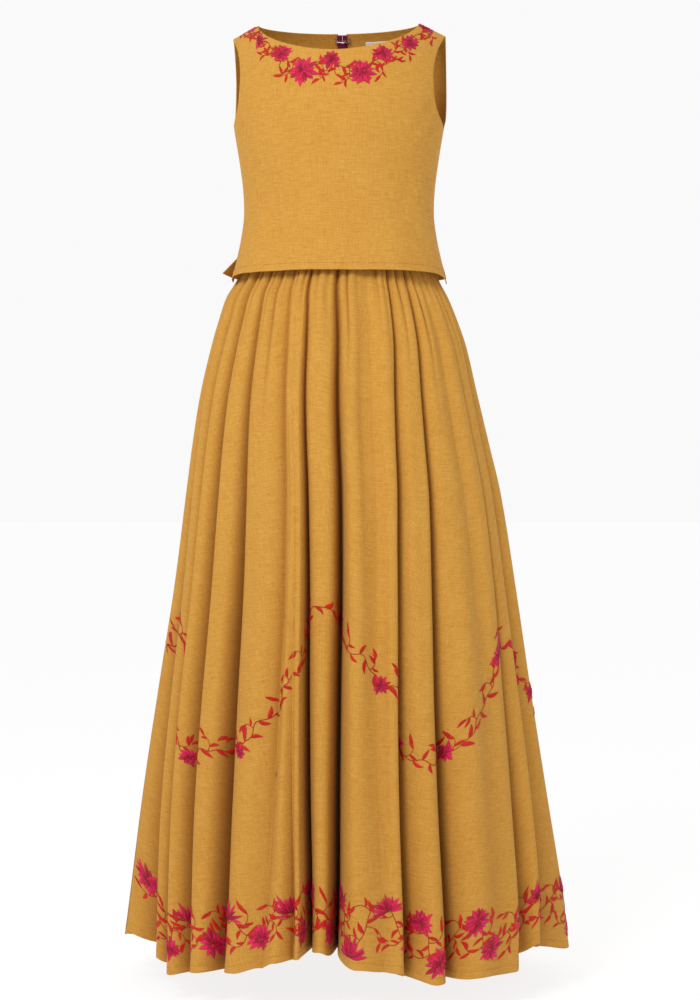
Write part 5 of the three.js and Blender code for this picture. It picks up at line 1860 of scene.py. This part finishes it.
# Each cloth's flat width and length, its area, how it is held, what it rests on and its trims
CUTS = {
    "skirt_front": ((1.82, 0.96), 1.043, "gathered", ["waistband_cloth"], []),
    "skirt_back": ((1.78, 0.96), 0.991, "gathered", ["waistband_cloth"], []),
    "bodice_front": ((0.390, 0.377), 0.1045, "hung", ["bodice_back_left_cloth"], []),
    "bodice_back_left": (
        (0.192, 0.367), 0.0576, "hung", ["bodice_front_cloth"], ["zip_tape_left_cloth"]
    ),
    "bodice_back_right": (
        (0.197, 0.367), 0.0576, "hung", ["bodice_front_cloth"], ["zip_tape_right_cloth"]
    ),
    "waistband": ((0.71, 0.024), None, "hung", ["bodice_front_cloth"], []),
    "neck_label": ((0.038, 0.020), None, "hung", ["bodice_back_left_cloth"], []),
}


class DRESS_OT_cut(bpy.types.Operator):
    """Finds each listed cloth and the pieces that lie on it, and raises an error if a cloth is missing"""

    bl_idname = "dress.cut"
    bl_label = "Cut sizes"

    def execute(self, context):
        for name, (flat, area, held, rests_on, trims) in CUTS.items():
            cloth = bpy.data.objects.get(f"{name}_cloth")
            if cloth is None:
                raise RuntimeError(f"{name} has to be made before its cut is given")
            worked = [piece for piece in bpy.data.objects if on_cloth(piece.name) == name]
            worked += [bpy.data.objects[trim] for trim in trims]
        return {"FINISHED"}


class VIEW3D_PT_dress(bpy.types.Panel):
    """Lists the dress's pieces and their settings"""

    bl_label = "Dress"
    bl_space_type = "VIEW_3D"
    bl_region_type = "UI"
    bl_category = "Dress"

    def draw(self, context):
        for operator in OPERATORS:
            self.layout.operator(operator.bl_idname)
        for key, kind in GROUPS.items():
            box = self.layout.box()
            for name in kind.__annotations__:
                box.prop(getattr(context.scene, key), name)


OPERATORS = (
    DRESS_OT_stage,
    DRESS_OT_skirt,
    DRESS_OT_bodice,
    DRESS_OT_stitching,
    DRESS_OT_embroidery,
    DRESS_OT_zip,
    DRESS_OT_fasteners,
    DRESS_OT_cut,
)
GROUPS = {
    "dress_cloth": ClothSettings,
    "dress_embroidery": EmbroiderySettings,
    "dress_trim": TrimSettings,
    "dress_stage": StageSettings,
}


def register():
    """Registers the settings, the operators and the panel."""
    for name, group in GROUPS.items():
        bpy.utils.register_class(group)
        setattr(bpy.types.Scene, name, bpy.props.PointerProperty(type=group))
    for operator in OPERATORS:
        bpy.utils.register_class(operator)
    bpy.utils.register_class(VIEW3D_PT_dress)


def unregister():
    """Takes the panel, the operators and the settings out again."""
    bpy.utils.unregister_class(VIEW3D_PT_dress)
    for operator in reversed(OPERATORS):
        bpy.utils.unregister_class(operator)
    for name, group in reversed(GROUPS.items()):
        delattr(bpy.types.Scene, name)
        bpy.utils.unregister_class(group)


def main():
    """Registers the add-on and makes the whole dress."""
    register()
    bpy.ops.dress.stage()
    bpy.ops.dress.skirt()
    bpy.ops.dress.bodice()
    bpy.ops.dress.stitching()
    bpy.ops.dress.embroidery()
    bpy.ops.dress.zip()
    bpy.ops.dress.fasteners()
    bpy.ops.dress.cut()


if __name__ == "__main__":
    main()
